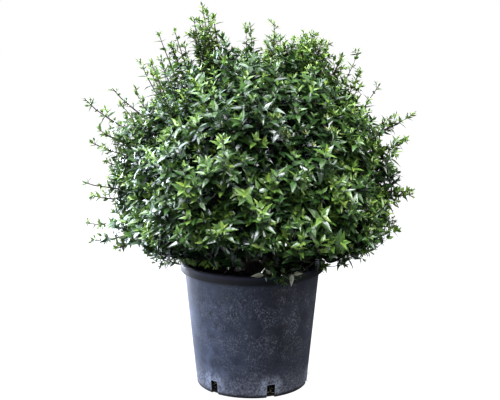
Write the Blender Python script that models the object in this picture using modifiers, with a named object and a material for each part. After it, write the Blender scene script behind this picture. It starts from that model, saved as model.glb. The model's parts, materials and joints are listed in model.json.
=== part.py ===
"""Potted abelia: a dense, round evergreen shrub standing in a black nursery container.

Metres, +Z up. The origin is the middle of the pot's flat underside, and the plant is seen from -Y.
Many stems rise from one woody base, spread like a fan and end in masses of foliage.
"""

import math
import random

import bmesh
import bpy
from mathutils import Matrix, Vector
from mathutils.bvhtree import BVHTree

SEED = 38
GAP = 0.0003  # between pieces that touch
MERGE = 0.00001

# Pot: a 35 litre container, thin walled, with a turned-over rim and slots round its foot.
POT_HEIGHT = 0.350
RIM_RADIUS = 0.200
RIM_SKIRT = 0.024
BODY_TOP_RADIUS = 0.188
BODY_FOOT_RADIUS = 0.1555
POT_WALL = 0.0025
FOOT_BEVEL = 0.002
RIM_BEVEL = 0.003
POT_SIDES = 36
SLOTS = 6
SLOT_WIDTH = 0.024
SLOT_HEIGHT = 0.038
SLOT_DEPTH = 0.030
FIRST_SLOT_DEG = -41.0  # from the front, -Y, towards +X

# Soil: fills the pot to a little under the rim.
SOIL_TOP = 0.320

# Woody base: a short knuckle on the soil that all stems rise from.
KNUCKLE_RADIUS = 0.038
KNUCKLE_FLARE = 0.050
FLARE_HEIGHT = 0.012
KNUCKLE_RISE = 0.024  # of its centre over the soil
KNUCKLE_SIDES = 24

# Crown: its skin's distance from the knuckle is a rounded box of this half width and rise.
CROWN_SPREAD = 0.400
CROWN_RISE = 0.618
CROWN_SQUARENESS = 2.7
TUCK = 0.35  # the skirt draws in by this share just over the rim
TUCK_DEG = 9.0
DROOP = 0.05  # each mass is domed: its edge lies lower than its middle by this share
DROOP_DEG = 22.0
LOBES = (  # azimuth and elevation, how wide they spread, and their gain over the even skin
    (180.0, 79.0, 8.0, 0.055),
    (0.0, 75.0, 9.0, 0.05),
    (0.0, 39.0, 11.0, 0.09),
    (180.0, 43.0, 11.0, 0.055),
    (0.0, 27.0, 8.0, 0.03),
    (180.0, 8.0, 8.0, 0.10),
    (0.0, 4.0, 8.0, 0.14),
    (0.0, 57.0, 9.0, -0.05),
    (180.0, 58.0, 9.0, -0.05),
    (0.0, 15.0, 7.0, -0.05),
    (180.0, 20.0, 8.0, -0.03),
    (-95.0, 48.0, 16.0, 0.04),
    (-60.0, 20.0, 14.0, 0.03),
    (-125.0, 30.0, 14.0, 0.03),
    (85.0, 42.0, 18.0, 0.05),
    (130.0, 18.0, 14.0, 0.04),
    (50.0, 12.0, 14.0, 0.04),
)
SKIRT_EDGE = 0.354  # the foliage's lower edge over the rim,
SKIRT_TURN = 0.250  # level as far out as this,
SKIRT_SLOPE = 0.45  # and rising from there
SKIRT_LIFT = 0.034  # higher on one side
SKIRT_LIFT_AT = -108.0
SKIRT_LIFT_DEG = 42.0
SKIRT_HANG = 0.020  # how far leaves hang past the edge, outside the rim
HANG_GAP = 0.006
SIDE_MARGIN = 0.0012  # from a mass to the plane it shares with the next

# Rings of masses: name, how many, their height over the knuckle and the first one's azimuth, from +X.
RINGS = (
    ("top", 1, 90.0, 0.0),
    ("upper", 5, 60.0, 180.0),
    ("middle", 6, 34.0, 0.0),
    ("lower", 7, 11.5, 180.0),
)
# Boughs: tapering stems from the knuckle to the inside of a mass.
BOUGH_REACH = 0.42  # share of the way to the skin
BOUGH_FOOT_RADIUS = 0.0056
BOUGH_TIP_RADIUS = 0.0038
BOUGH_LEAD = 0.008  # its straight first and last bits
BOUGH_BENDS = (0.0, 0.5, 1.0)  # where between them its line has a point
START_LIFT = 0.16  # stems leave the knuckle a little more upright than they end

# Foliage: twigs fork from the mass's stem in a leafy core, whose skin they cover with sprays of leaves.
CORE_FROM = 0.58  # shares of the way to the skin
CORE_TO = 0.87
CORE_MARGIN = 0.004
CORE_ROUGHNESS = 0.07
CORE_SIDES = 12
CORE_RINGS = (  # share of the core's spread, share of the way to the skin
    (0.0, CORE_TO),
    (0.55, CORE_TO),
    (0.99, CORE_TO - 0.03),
    (0.90, CORE_FROM),
    (0.0, CORE_FROM + 0.02),
)
STEM_TIP = 0.66
STEM_TIP_RADIUS = 0.0030
FORK_STEP = 0.45
TWIG_RADIUS = 0.0021
TWIG_TAPER = 0.6
TWIG_SIDES = 3
SPRAYS = 77
SPRAY_CROWDING = 0.86  # under 1 puts more of them near the top, which is further from the knuckle
SPRAY_MARGIN_DEG = 3.8
LOWEST_SPRAY_DEG = 9.0
SPRAY_LEAVES = 5
SPRAY_FOOT = 0.011  # from the middle of a spray to its leaves' feet
LEAF_LENGTH = 0.086
LEAF_WIDTH = 0.46  # shares of the length
LEAF_WIDEST = 0.42
LEAF_FOLD = 0.07
LEAF_DROOP = 0.10
LEAF_THICKNESS = 0.022
LEAF_SUNK = 0.006
LEAF_TO = 1.08  # share of the way to the skin
LEAF_TILTS_DEG = (56.0, 40.0, 24.0, 8.0)  # tried in turn, until the leaf keeps to its mass's space

# Long shoots that stand out of the crown: the tips of those that show at its edge, as x, y, z.
EDGE_SHOOTS = (
    (-0.127, -0.02, 1.052),
    (-0.105, 0.03, 1.010),
    (-0.165, 0.01, 0.990),
    (-0.258, 0.03, 0.968),
    (-0.300, -0.04, 0.915),
    (-0.375, 0.02, 0.827),
    (-0.450, -0.03, 0.800),
    (-0.440, 0.04, 0.700),
    (-0.462, -0.03, 0.575),
    (-0.455, 0.02, 0.445),
    (0.000, 0.02, 1.000),
    (0.170, -0.02, 0.990),
    (0.295, 0.03, 0.935),
    (0.343, -0.02, 0.840),
    (0.448, 0.02, 0.758),
    (0.438, -0.03, 0.546),
)
ROUND_SHOOTS = 10  # more of them, spread over the front and the back
ROUND_SHOOT_REACH = 1.13
SHOOT_LEAF = 0.62  # of a common leaf's length
END_LEAF = 0.42
SHOOT_LEAF_SUNK = 0.003
SHOOT_PAIRS = (0.45, 0.97)  # of the way from the core's skin to the shoot's tip
SHOOT_TO = 2.0

FAN = Vector((0.0, 0.0, SOIL_TOP + KNUCKLE_RISE))
GOLDEN_ANGLE = math.pi * (3.0 - math.sqrt(5.0))


# ---------------------------------------------------------------- scene helpers


def clear_scene():
    for old in list(bpy.data.objects):
        bpy.data.objects.remove(old, do_unlink=True)


def new_collection(name):
    made = bpy.data.collections.new(name)
    bpy.context.scene.collection.children.link(made)
    return made


def plain_material(name, colour, roughness):
    made = bpy.data.materials.new(name)
    made.use_nodes = True
    shader = made.node_tree.nodes["Principled BSDF"]
    shader.inputs["Base Color"].default_value = (*colour, 1.0)
    shader.inputs["Roughness"].default_value = roughness
    shader.inputs["Metallic"].default_value = 0.0
    return made


def add_object(name, mesh, collection, material=None):
    made = bpy.data.objects.new(name, mesh)
    collection.objects.link(made)
    if material is not None:
        mesh.materials.clear()
        mesh.materials.append(material)
    return made


def evaluated_mesh(obj):
    bpy.context.view_layer.update()
    graph = bpy.context.evaluated_depsgraph_get()
    return bpy.data.meshes.new_from_object(obj.evaluated_get(graph))


def turned_object(name, outline, sides, collection, material):
    """A solid of revolution about Z from an outline of (radius, height) that starts and ends on the axis."""
    mesh = bpy.data.meshes.new(name)
    points = [(radius, 0.0, height) for radius, height in outline]
    mesh.from_pydata(points, [(i, i + 1) for i in range(len(points) - 1)], [])
    made = add_object(name, mesh, collection, material)
    screw = made.modifiers.new("turn", "SCREW")
    screw.steps = sides
    screw.render_steps = sides
    screw.use_merge_vertices = True
    screw.merge_threshold = MERGE
    return made


# ---------------------------------------------------------------- pot and soil


def body_radius(height):
    """The pot's outer radius at a height of its tapering body."""
    share = height / (POT_HEIGHT - RIM_SKIRT)
    return BODY_FOOT_RADIUS + (BODY_TOP_RADIUS - BODY_FOOT_RADIUS) * share


def build_pot(collection, cutters, material):
    rim_inside = body_radius(POT_HEIGHT) - POT_WALL
    outline = [
        (0.0, POT_WALL),
        (body_radius(POT_WALL) - POT_WALL, POT_WALL),
        (rim_inside, POT_HEIGHT - RIM_BEVEL),
        (rim_inside + RIM_BEVEL, POT_HEIGHT),
        (RIM_RADIUS - RIM_BEVEL, POT_HEIGHT),
        (RIM_RADIUS, POT_HEIGHT - RIM_BEVEL),
        (RIM_RADIUS, POT_HEIGHT - RIM_SKIRT),
        (RIM_RADIUS - POT_WALL, POT_HEIGHT - RIM_SKIRT),
        (RIM_RADIUS - POT_WALL, POT_HEIGHT - POT_WALL - RIM_BEVEL),
        (body_radius(POT_HEIGHT - RIM_SKIRT / 2), POT_HEIGHT - POT_WALL - RIM_BEVEL),
        (body_radius(FOOT_BEVEL), FOOT_BEVEL),
        (body_radius(0.0) - FOOT_BEVEL, 0.0),
        (0.0, 0.0),
    ]
    pot = turned_object("pot", outline, POT_SIDES, collection, material)
    for index in range(SLOTS):
        cut_slot(index, cutters)
    cut = pot.modifiers.new("slots", "BOOLEAN")
    cut.operation = "DIFFERENCE"
    cut.operand_type = "COLLECTION"
    cut.collection = cutters
    cut.solver = "EXACT"
    return pot


def cut_slot(index, cutters):
    """A box through the corner of the pot's wall and floor."""
    below = 0.010
    outwards = 0.010
    size = Vector((SLOT_WIDTH, SLOT_DEPTH + outwards, SLOT_HEIGHT + below))
    bm = bmesh.new()
    bmesh.ops.create_cube(bm, size=1.0, matrix=Matrix.Diagonal((*size, 1.0)))
    middle = BODY_FOOT_RADIUS - SLOT_DEPTH + size.y / 2
    bmesh.ops.translate(bm, vec=(0.0, -middle, SLOT_HEIGHT - size.z / 2), verts=bm.verts)
    mesh = bpy.data.meshes.new("slot_cutter")
    bm.to_mesh(mesh)
    bm.free()
    cutter = add_object(f"slot_cutter_{index + 1}", mesh, cutters)
    cutter.rotation_euler.z = math.radians(FIRST_SLOT_DEG + index * 360.0 / SLOTS)
    cutter.hide_render = True
    cutter.display_type = "WIRE"


def build_soil(collection, material):
    bottom = POT_WALL + GAP
    inset = POT_WALL + GAP
    outline = [
        (0.0, SOIL_TOP),
        (body_radius(SOIL_TOP) - inset, SOIL_TOP),
        (body_radius(bottom) - inset, bottom),
        (0.0, bottom),
    ]
    return turned_object("potting_soil", outline, POT_SIDES, collection, material)


# ---------------------------------------------------------------- woody base and boughs


def build_stem_base(collection, material):
    """The knuckle: a dome on a flaring foot, cut flat where it stands on the soil."""
    foot = SOIL_TOP + GAP
    steps = 6
    outline = []
    for step in range(steps + 1):
        angle = math.radians(90.0 * (1.0 - step / steps))
        outline.append((KNUCKLE_RADIUS * math.cos(angle), FAN.z + KNUCKLE_RADIUS * math.sin(angle)))
    outline[0] = (0.0, FAN.z + KNUCKLE_RADIUS)
    outline += [
        (KNUCKLE_RADIUS + 0.001, foot + FLARE_HEIGHT),
        (KNUCKLE_FLARE, foot),
        (0.0, foot),
    ]
    return turned_object("stem_base", outline, KNUCKLE_SIDES, collection, material)


def direction(azimuth_deg, elevation_deg):
    azimuth = math.radians(azimuth_deg)
    elevation = math.radians(elevation_deg)
    level = math.cos(elevation)
    return Vector((level * math.cos(azimuth), level * math.sin(azimuth), math.sin(elevation)))


def mass_axes():
    """The name and the axis of each mass, ring by ring."""
    axes = {}
    for ring, count, elevation, first in RINGS:
        for index in range(count):
            axes[f"{ring}_{index + 1}"] = direction(first + index * 360.0 / count, elevation)
    return axes


AXES = mass_axes()
LOBE_AXES = [(direction(azimuth, elevation), math.radians(width), gain) for azimuth, elevation, width, gain in LOBES]


def even_skin(along):
    """The distance from the fan point to the crown's skin."""
    level = math.hypot(along.x, along.y)
    share = (level / CROWN_SPREAD) ** CROWN_SQUARENESS
    share += (max(along.z, 0.0) / CROWN_RISE) ** CROWN_SQUARENESS
    elevation = math.degrees(math.atan2(along.z, level))
    tuck = 1.0 - TUCK * math.exp(-((max(elevation, 0.0) / TUCK_DEG) ** 2))
    lobes = sum(gain * math.exp(-((along.angle(axis) / width) ** 2)) for axis, width, gain in LOBE_AXES)
    return tuck * (1.0 + lobes) * share ** (-1.0 / CROWN_SQUARENESS)


def skirt_edge(place):
    """The height of the foliage's lower edge over this place."""
    level = math.hypot(place.x, place.y)
    turn = (math.degrees(math.atan2(place.y, place.x)) - SKIRT_LIFT_AT + 180.0) % 360.0 - 180.0
    lift = SKIRT_LIFT * math.exp(-((turn / SKIRT_LIFT_DEG) ** 2))
    hang = SKIRT_HANG if level > RIM_RADIUS + HANG_GAP else 0.0
    return SKIRT_EDGE + lift + SKIRT_SLOPE * max(0.0, level - SKIRT_TURN) - hang


def nearest_mass(along):
    return max(AXES, key=lambda name: along.dot(AXES[name]))


def skin(name, along):
    """The distance to the skin as one mass domes it."""
    off_axis = math.degrees(along.angle(AXES[name]))
    return even_skin(along) * (1.0 - DROOP * min(1.0, off_axis / DROOP_DEG) ** 2)


def bezier(a, b, c, d, t):
    s = 1.0 - t
    return a * s**3 + b * (3 * s * s * t) + c * (3 * s * t * t) + d * t**3


def bough_line(name):
    """The bough's middle line: it leaves the knuckle square to it, bends out, and ends along its mass's axis."""
    axis = AXES[name]
    rise = (axis + Vector((0.0, 0.0, START_LIFT * (1.0 - axis.z)))).normalized()
    start = FAN + rise * (KNUCKLE_RADIUS + GAP)
    end = FAN + axis * skin(name, axis) * BOUGH_REACH
    after, before = start + rise * BOUGH_LEAD, end - axis * BOUGH_LEAD
    third = (before - after).length / 3.0
    bend = [bezier(after, after + rise * third, before - axis * third, before, t) for t in BOUGH_BENDS]
    return [start, *bend, end]


def build_bough(name, collection, material):
    line = bough_line(name)
    data = bpy.data.curves.new(f"bough_{name}", "CURVE")
    data.dimensions = "3D"
    data.bevel_depth = 1.0
    data.bevel_resolution = 1
    data.use_fill_caps = True
    spline = data.splines.new("POLY")
    spline.points.add(len(line) - 1)
    for index, (point, place) in enumerate(zip(spline.points, line)):
        share = index / (len(line) - 1)
        point.co = (*place, 1.0)
        point.radius = BOUGH_FOOT_RADIUS + (BOUGH_TIP_RADIUS - BOUGH_FOOT_RADIUS) * share
    data.materials.append(material)
    made = bpy.data.objects.new(f"bough_{name}", data)
    collection.objects.link(made)
    return made


# ---------------------------------------------------------------- foliage


def clear_by(name, point, margin):
    """True if the point is over the skirt's edge and in the mass's wedge of the crown, by a margin."""
    out = point - FAN
    if point.z < skirt_edge(point) + margin:
        return False
    axis = AXES[name]
    for other, its_axis in AXES.items():
        if other != name and out.dot((axis - its_axis).normalized()) < margin:
            return False
    return True


def in_own_space(name, point, to):
    out = point - FAN
    return out.length < skin(name, out.normalized()) * to and clear_by(name, point, SIDE_MARGIN)


def unit_leaf():
    """A folded, pointed leaf of length 1 along +Z: the eight faces of a flattened octahedron."""
    bm = bmesh.new()
    bmesh.ops.create_uvsphere(bm, u_segments=4, v_segments=2, radius=1.0)
    for vert in bm.verts:
        x, y, z = vert.co
        if abs(z) > 0.5:
            vert.co = (0.0, -LEAF_DROOP if z > 0.0 else 0.0, 1.0 if z > 0.0 else 0.0)
        else:
            fold = 0.0 if abs(x) > 0.5 else LEAF_FOLD
            vert.co = (x * LEAF_WIDTH / 2, y * LEAF_THICKNESS / 2 - fold, LEAF_WIDEST)
    mesh = bpy.data.meshes.new("leaf")
    bm.to_mesh(mesh)
    bm.free()
    return mesh


def unit_twig():
    """A three-sided tapering stick of length 1 along +Z."""
    bm = bmesh.new()
    place = Matrix.Translation((0.0, 0.0, 0.5))
    bmesh.ops.create_cone(
        bm, cap_ends=True, segments=TWIG_SIDES, radius1=1.0, radius2=TWIG_TAPER, depth=1.0, matrix=place
    )
    mesh = bpy.data.meshes.new("twig")
    bm.to_mesh(mesh)
    bm.free()
    return mesh


def frame_along(root, along, up):
    """A matrix whose +Z is along and whose +Y leans to up, at root."""
    z = along.normalized()
    x = up.cross(z)
    if x.length < 1e-4:
        x = Vector((1.0, 0.0, 0.0)).cross(z)
    x.normalize()
    y = z.cross(x)
    return Matrix.Translation(root) @ Matrix((x, y, z)).transposed().to_4x4()


def spray_tips():
    """Which way the sprays point: spread evenly over the crown and pulled in from the masses' edges."""
    tips = {name: [] for name in AXES}
    jitter = random.Random(SEED)
    lowest = math.sin(math.radians(LOWEST_SPRAY_DEG))
    for index in range(SPRAYS):
        height = lowest + (1.0 - lowest) * ((index + 0.5) / SPRAYS) ** SPRAY_CROWDING
        azimuth = index * GOLDEN_ANGLE + jitter.uniform(-0.06, 0.06)
        level = math.sqrt(1.0 - height * height)
        along = Vector((level * math.cos(azimuth), level * math.sin(azimuth), height))
        name = nearest_mass(along)
        axis = AXES[name]
        for other, its_axis in AXES.items():
            apart = (axis - its_axis).normalized() if other != name else axis
            short = math.sin(math.radians(SPRAY_MARGIN_DEG)) - along.dot(apart)
            if short > 0.0:
                along = (along + apart * short).normalized()
        tips[name].append(along)
    return tips


def shoot_tips():
    """The long shoots, each with the mass that it grows from."""
    tips = {name: [] for name in AXES}
    places = [Vector(place) for place in EDGE_SHOOTS]
    for index in range(ROUND_SHOOTS):
        side = 90.0 if index % 2 else -90.0
        swing = 55.0 * math.sin(index * 2.4)
        height = 12.0 + 66.0 * ((index * 0.37) % 1.0)
        along = direction(side + swing, height)
        places.append(FAN + along * even_skin(along) * ROUND_SHOOT_REACH)
    for place in places:
        tips[nearest_mass((place - FAN).normalized())].append(place)
    return tips


def fork(start, tips, twigs):
    """A stem forks towards the two halves of its tips, and each part again, until each tip has its own twig."""
    if len(tips) == 1:
        twigs.append((start, tips[0]))
        return
    spread = [max(tip[axis] for tip in tips) - min(tip[axis] for tip in tips) for axis in range(3)]
    widest = spread.index(max(spread))
    ordered = sorted(tips, key=lambda tip: tip[widest])
    half = len(ordered) // 2
    for part in (ordered[:half], ordered[half:]):
        knee = part[0]
        if len(part) > 1:
            middle = sum(part, Vector()) / len(part)
            knee = start.lerp(middle, FORK_STEP / math.log2(2 + len(part)))
        twigs.append((start, knee))
        if len(part) > 1:
            fork(knee, part, twigs)


def core_mesh(name):
    """A rough lens that fills the mass's wedge under its leaves: rings of points about the mass's axis."""
    axis = AXES[name]
    shape = random.Random(f"{SEED} core {name}")
    side = axis.orthogonal().normalized()
    rings = []
    for spread, share in CORE_RINGS:
        ring = []
        for index in range(CORE_SIDES if spread else 1):
            around = Matrix.Rotation(math.tau * index / CORE_SIDES, 3, axis) @ side
            angle = core_angle(name, around) * spread
            along = axis * math.cos(angle) + around * math.sin(angle)
            rough = 1.0 - CORE_ROUGHNESS * shape.random() * (1.0 - spread)
            ring.append(FAN + along * skin(name, along) * share * rough)
        rings.append(ring)
    bm = bmesh.new()
    rings = [[bm.verts.new(place) for place in ring] for ring in rings]
    for near, far in zip(rings, rings[1:]):
        for index in range(CORE_SIDES):
            corners = [ring[i % len(ring)] for ring, i in ((near, index), (near, index + 1), (far, index + 1), (far, index))]
            bm.faces.new(list(dict.fromkeys(corners)))
    bmesh.ops.triangulate(bm, faces=bm.faces)
    bmesh.ops.recalc_face_normals(bm, faces=bm.faces)
    mesh = bpy.data.meshes.new("core")
    bm.to_mesh(mesh)
    bm.free()
    return mesh


def core_angle(name, around):
    """How far the core spreads from the mass's axis on one side, before it nears the next mass or the rim."""
    axis = AXES[name]
    near, far = 0.0, math.pi / 2
    for _ in range(20):
        angle = (near + far) / 2
        along = axis * math.cos(angle) + around * math.sin(angle)
        inner = FAN + along * skin(name, along) * CORE_FROM
        outer = FAN + along * skin(name, along) * CORE_TO
        if clear_by(name, inner, CORE_MARGIN) and clear_by(name, outer, CORE_MARGIN):
            near = angle
        else:
            far = angle
    return near


def add_leaf(name, mesh, root, along, outwards, size, sunk, swing, pieces, to=LEAF_TO):
    """Adds a leaf at the widest tilt that keeps it in its mass's space, or leaves it out."""
    for tilt_deg in LEAF_TILTS_DEG:
        tilt = math.radians(tilt_deg + swing)
        heading = along * math.cos(tilt) + outwards * math.sin(tilt)
        place = frame_along(root - heading * sunk, heading, along) @ Matrix.Scale(size, 4)
        if all(in_own_space(name, place @ vert.co, to) for vert in mesh.vertices):
            add_object("leaf", mesh, pieces).matrix_world = place
            return


def add_spray(name, root, along, leaf_mesh, pieces):
    """A star of leaves standing out of the core's skin."""
    deal = random.Random(f"{SEED} spray {root.x:.4f} {root.y:.4f}")
    side = Matrix.Rotation(deal.uniform(0.0, math.tau), 3, along) @ along.orthogonal().normalized()
    for index in range(SPRAY_LEAVES):
        outwards = Matrix.Rotation(math.tau * index / SPRAY_LEAVES, 3, along) @ side
        size = LEAF_LENGTH * deal.uniform(0.85, 1.1)
        foot = root + outwards * SPRAY_FOOT
        add_leaf(name, leaf_mesh, foot, along, outwards, size, LEAF_SUNK, deal.uniform(-12.0, 6.0), pieces)


def add_shoot_leaves(name, root, tip, leaf_mesh, pieces):
    """Opposite pairs of leaves on a shoot's free end, each turned a quarter from the last, and one at its tip."""
    deal = random.Random(f"{SEED} shoot {tip.x:.4f} {tip.y:.4f}")
    along = (tip - root).normalized()
    side = Matrix.Rotation(deal.uniform(0.0, math.tau), 3, along) @ along.orthogonal().normalized()
    size = LEAF_LENGTH * SHOOT_LEAF
    for pair, share in enumerate(SHOOT_PAIRS):
        for half in range(2):
            outwards = Matrix.Rotation(pair * math.pi / 2 + half * math.pi, 3, along) @ side
            place = root.lerp(tip, share)
            swing = deal.uniform(-8.0, 8.0)
            add_leaf(name, leaf_mesh, place, along, outwards, size, SHOOT_LEAF_SUNK, swing, pieces, SHOOT_TO)
    end = tip - along * SHOOT_LEAF_SUNK
    add_leaf(name, leaf_mesh, end, along, side, LEAF_LENGTH * END_LEAF, SHOOT_LEAF_SUNK, -20.0, pieces, SHOOT_TO)


def largest_body(mesh):
    """Keeps the outer surface of the largest body, so that scraps and sealed hollows are gone."""
    bm = bmesh.new()
    bm.from_mesh(mesh)
    bodies, seen = [], set()
    for first in bm.faces:
        if first in seen:
            continue
        seen.add(first)
        body, ahead = [], [first]
        while ahead:
            face = ahead.pop()
            body.append(face)
            for edge in face.edges:
                for near in edge.link_faces:
                    if near not in seen:
                        seen.add(near)
                        ahead.append(near)
        bodies.append(body)
    keep = set(max(bodies, key=lambda body: sum(face.calc_area() for face in body)))
    bmesh.ops.delete(bm, geom=[face for face in bm.faces if face not in keep], context="FACES")
    bmesh.ops.triangulate(bm, faces=bm.faces)
    bm.to_mesh(mesh)
    bm.free()


def build_mass(name, sprays, shoots, leaf_mesh, twig_mesh, collection, material):
    """One mass: its stem, fused with a core, the twigs that fork in it and their leaves."""
    pieces = new_collection(f"pieces_{name}")
    axis = AXES[name]
    line = bough_line(name)
    foot = line[-1] + axis * GAP
    stem_tip = FAN + axis * skin(name, axis) * STEM_TIP

    core = core_mesh(name)
    add_object("core", core, pieces)
    core_skin = BVHTree.FromPolygons([vert.co for vert in core.vertices], [face.vertices for face in core.polygons])
    tips = []
    for along in sprays:
        root = core_skin.ray_cast(FAN + along * 2 * CROWN_RISE, -along)[0]
        if root is not None:
            add_spray(name, root, along, leaf_mesh, pieces)
            tips.append(root - along * 4 * TWIG_RADIUS)
    for furthest in shoots:
        along = (furthest - stem_tip).normalized()
        tip = furthest - along * LEAF_LENGTH * END_LEAF
        root = core_skin.ray_cast(tip, -along)[0]
        add_shoot_leaves(name, root, tip, leaf_mesh, pieces)
        tips.append(tip)
    twigs = []
    fork(stem_tip, tips, twigs)
    for start, end in twigs:
        along = end - start
        begin = start - along.normalized() * TWIG_RADIUS
        size = (TWIG_RADIUS, TWIG_RADIUS, along.length + TWIG_RADIUS, 1.0)
        stick = add_object("twig", twig_mesh, pieces)
        stick.matrix_world = frame_along(begin, along, Vector((0.0, 0.0, 1.0))) @ Matrix.Diagonal(size)

    bm = bmesh.new()
    along = stem_tip - foot
    bmesh.ops.create_cone(
        bm,
        cap_ends=True,
        segments=6,
        radius1=BOUGH_TIP_RADIUS,
        radius2=STEM_TIP_RADIUS,
        depth=along.length,
        matrix=frame_along(foot + along / 2, along, Vector((0.0, 0.0, 1.0))),
    )
    mesh = bpy.data.meshes.new(f"foliage_{name}")
    bm.to_mesh(mesh)
    bm.free()
    mass = add_object(f"foliage_{name}", mesh, collection, material)
    join = mass.modifiers.new("join", "BOOLEAN")
    join.operation = "UNION"
    join.operand_type = "COLLECTION"
    join.collection = pieces
    join.solver = "MANIFOLD"
    joined = evaluated_mesh(mass)
    mass.modifiers.clear()
    mass.data = joined
    joined.materials.clear()
    joined.materials.append(material)
    largest_body(joined)
    for piece in list(pieces.objects):
        bpy.data.objects.remove(piece, do_unlink=True)
    bpy.data.collections.remove(pieces)
    return mass


# ---------------------------------------------------------------- the whole plant


def build():
    clear_scene()
    plant = new_collection("potted_abelia")
    cutters = new_collection("cutters")
    pot_plastic = plain_material("pot_plastic", (0.030, 0.034, 0.045), 0.55)
    soil_brown = plain_material("soil_brown", (0.025, 0.018, 0.012), 0.95)
    bark = plain_material("bark", (0.110, 0.070, 0.045), 0.85)
    leaf_green = plain_material("leaf_green", (0.060, 0.150, 0.035), 0.45)

    build_pot(plant, cutters, pot_plastic)
    build_soil(plant, soil_brown)
    build_stem_base(plant, bark)
    for name in AXES:
        build_bough(name, plant, bark)

    leaf_mesh = unit_leaf()
    twig_mesh = unit_twig()
    sprays = spray_tips()
    shoots = shoot_tips()
    for name in AXES:
        build_mass(name, sprays[name], shoots[name], leaf_mesh, twig_mesh, plant, leaf_green)


build()
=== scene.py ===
"""Potted abelia: a dense, round evergreen shrub standing in a black nursery container.

Metres, +Z up. The origin is the middle of the pot's flat underside, and the plant is seen from -Y.
Many stems rise from one woody base, spread like a fan and end in leafy shoots.
"""

import json
import math
import random

import bmesh
import bpy
import numpy as np
from mathutils import Matrix, Vector

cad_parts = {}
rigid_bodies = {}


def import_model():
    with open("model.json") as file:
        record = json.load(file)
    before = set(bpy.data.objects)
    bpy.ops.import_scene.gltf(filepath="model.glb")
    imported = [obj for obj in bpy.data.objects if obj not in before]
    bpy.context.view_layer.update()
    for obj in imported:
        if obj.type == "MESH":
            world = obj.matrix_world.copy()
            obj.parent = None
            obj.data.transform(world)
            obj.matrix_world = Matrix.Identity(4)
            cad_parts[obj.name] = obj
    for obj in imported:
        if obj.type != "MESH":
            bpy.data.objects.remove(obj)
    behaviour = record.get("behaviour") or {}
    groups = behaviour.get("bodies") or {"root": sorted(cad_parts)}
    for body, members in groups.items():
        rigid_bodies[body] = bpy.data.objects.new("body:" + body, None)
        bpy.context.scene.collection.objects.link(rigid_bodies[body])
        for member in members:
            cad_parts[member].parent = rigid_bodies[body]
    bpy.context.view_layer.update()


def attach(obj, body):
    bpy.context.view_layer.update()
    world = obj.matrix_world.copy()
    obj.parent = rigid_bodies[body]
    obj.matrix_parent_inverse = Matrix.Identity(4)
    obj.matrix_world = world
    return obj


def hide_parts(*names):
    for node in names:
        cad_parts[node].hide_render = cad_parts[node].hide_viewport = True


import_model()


# ---------------------------------------------------------------- nursery container
# A 35 litre plant container of black polypropylene, injection moulded with a thin wall,
# a turned-over rim to lift it by and six drain slots cut through the corner of wall and floor.
# Hard water and compost dust have dried on it as a bluish haze and pale specks. Its colour also holds a
# painted sheen left of the middle, painted shade on the back and under and over the lip, a painted highlight
# on the lip's crown and a painted shadow along the foot's lower edge.

POT_HEIGHT = 0.350
RIM_RADIUS = 0.200
RIM_SKIRT = 0.024
RIM_ROUND = 0.0045  # inside, and more outside, where the lip is turned over
RIM_CROWN = 0.0070
RIM_TAPER = 0.0006
SKIRT_ROUND = 0.0011
NECK_ROUND = 0.0015
CORNER_ROUND = 0.002
INNER_STEPS = 12  # up the wall
OUTER_STEPS = 16
BODY_TOP_RADIUS = 0.188
BODY_FOOT_RADIUS = 0.1555
POT_WALL = 0.0025
POT_SIDES = 168
SHARP_DEG = 38.0
FOOT_ROUND = 0.004
SLOTS = 6
SLOT_WIDTH = 0.024
SLOT_HEIGHT = 0.038
SLOT_DEPTH = 0.030
SLOT_ROUND = 0.003
CUTTER_OVER = 0.010  # how far a cutter stands out of the pot
FIRST_SLOT_DEG = -41.0  # from the front, -Y, towards +X
SLOT_PITCH = math.tau / SLOTS
MERGE = 0.00001
MATH, MIX, BUMP = "ShaderNodeMath", "ShaderNodeMix", "ShaderNodeBump"
NOISE, RAMP, PLACE = "ShaderNodeTexNoise", "ShaderNodeValToRGB", "ShaderNodeTexCoord"
PER_METRE = 1000.0  # over a size in mm, this gives a texture's scale
DIRT_SPOTS = (  # size in mm, detail, roughness, and the ramp from bare to covered
    (85, 4.0, 0.6, (0.36, 0.0), (0.66, 1.0)),  # drifts of haze
    (26, 5.0, 0.65, (0.35, 0.15), (0.72, 1.0)),  # the film's thickness
    (48, 3.0, 0.55, (0.40, 0.1), (0.56, 1.0)),  # patches of dried drops
    (5.5, 4.0, 0.85, (0.52, 0.0), (0.64, 0.9)),  # crust
    (6.0, 5.0, 0.8, (0.47, 0.0), (0.60, 1.0)),  # dust splashed on the foot
    (19, 2.0, 0.6, (0.40, 0.0), (0.52, 1.0)),  # rubbed places at the slots,
    (4.5, 4.0, 0.8, (0.42, 0.1), (0.58, 1.0)),  # and their torn grain
)
DIRT_AND_PAINTED_LIGHT_BANDS = (  # ramps by height, of dirt, roughness, and painted shade, shadow and highlight
    ((0.0, 1.0), (0.06, 0.75), (0.10, 0.5), (0.17, 0.9), (0.26, 0.8), (0.315, 0.35), (0.326, 0.0)),  # drops
    ((0.0, 0.9), (0.025, 0.8), (0.055, 0.4), (0.085, 0.0)),  # dust on the foot
    ((0.317, 0.0), (0.3235, 0.8), (0.3262, 1.0), (0.330, 0.95), (0.345, 0.88)),  # painted shade under the lip and over the lip's face
    ((0.0, 1.0), (0.006, 0.95), (0.011, 0.0)),  # painted contact shadow along the foot's lower edge
    ((0.338, 0.0), (0.342, 0.8), (0.346, 0.8), (0.3485, 0.0)),  # painted highlight along the lip's crown
    ((0.324, 0.42), (0.328, 0.60)),  # roughness, more on the worn lip
)
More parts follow.
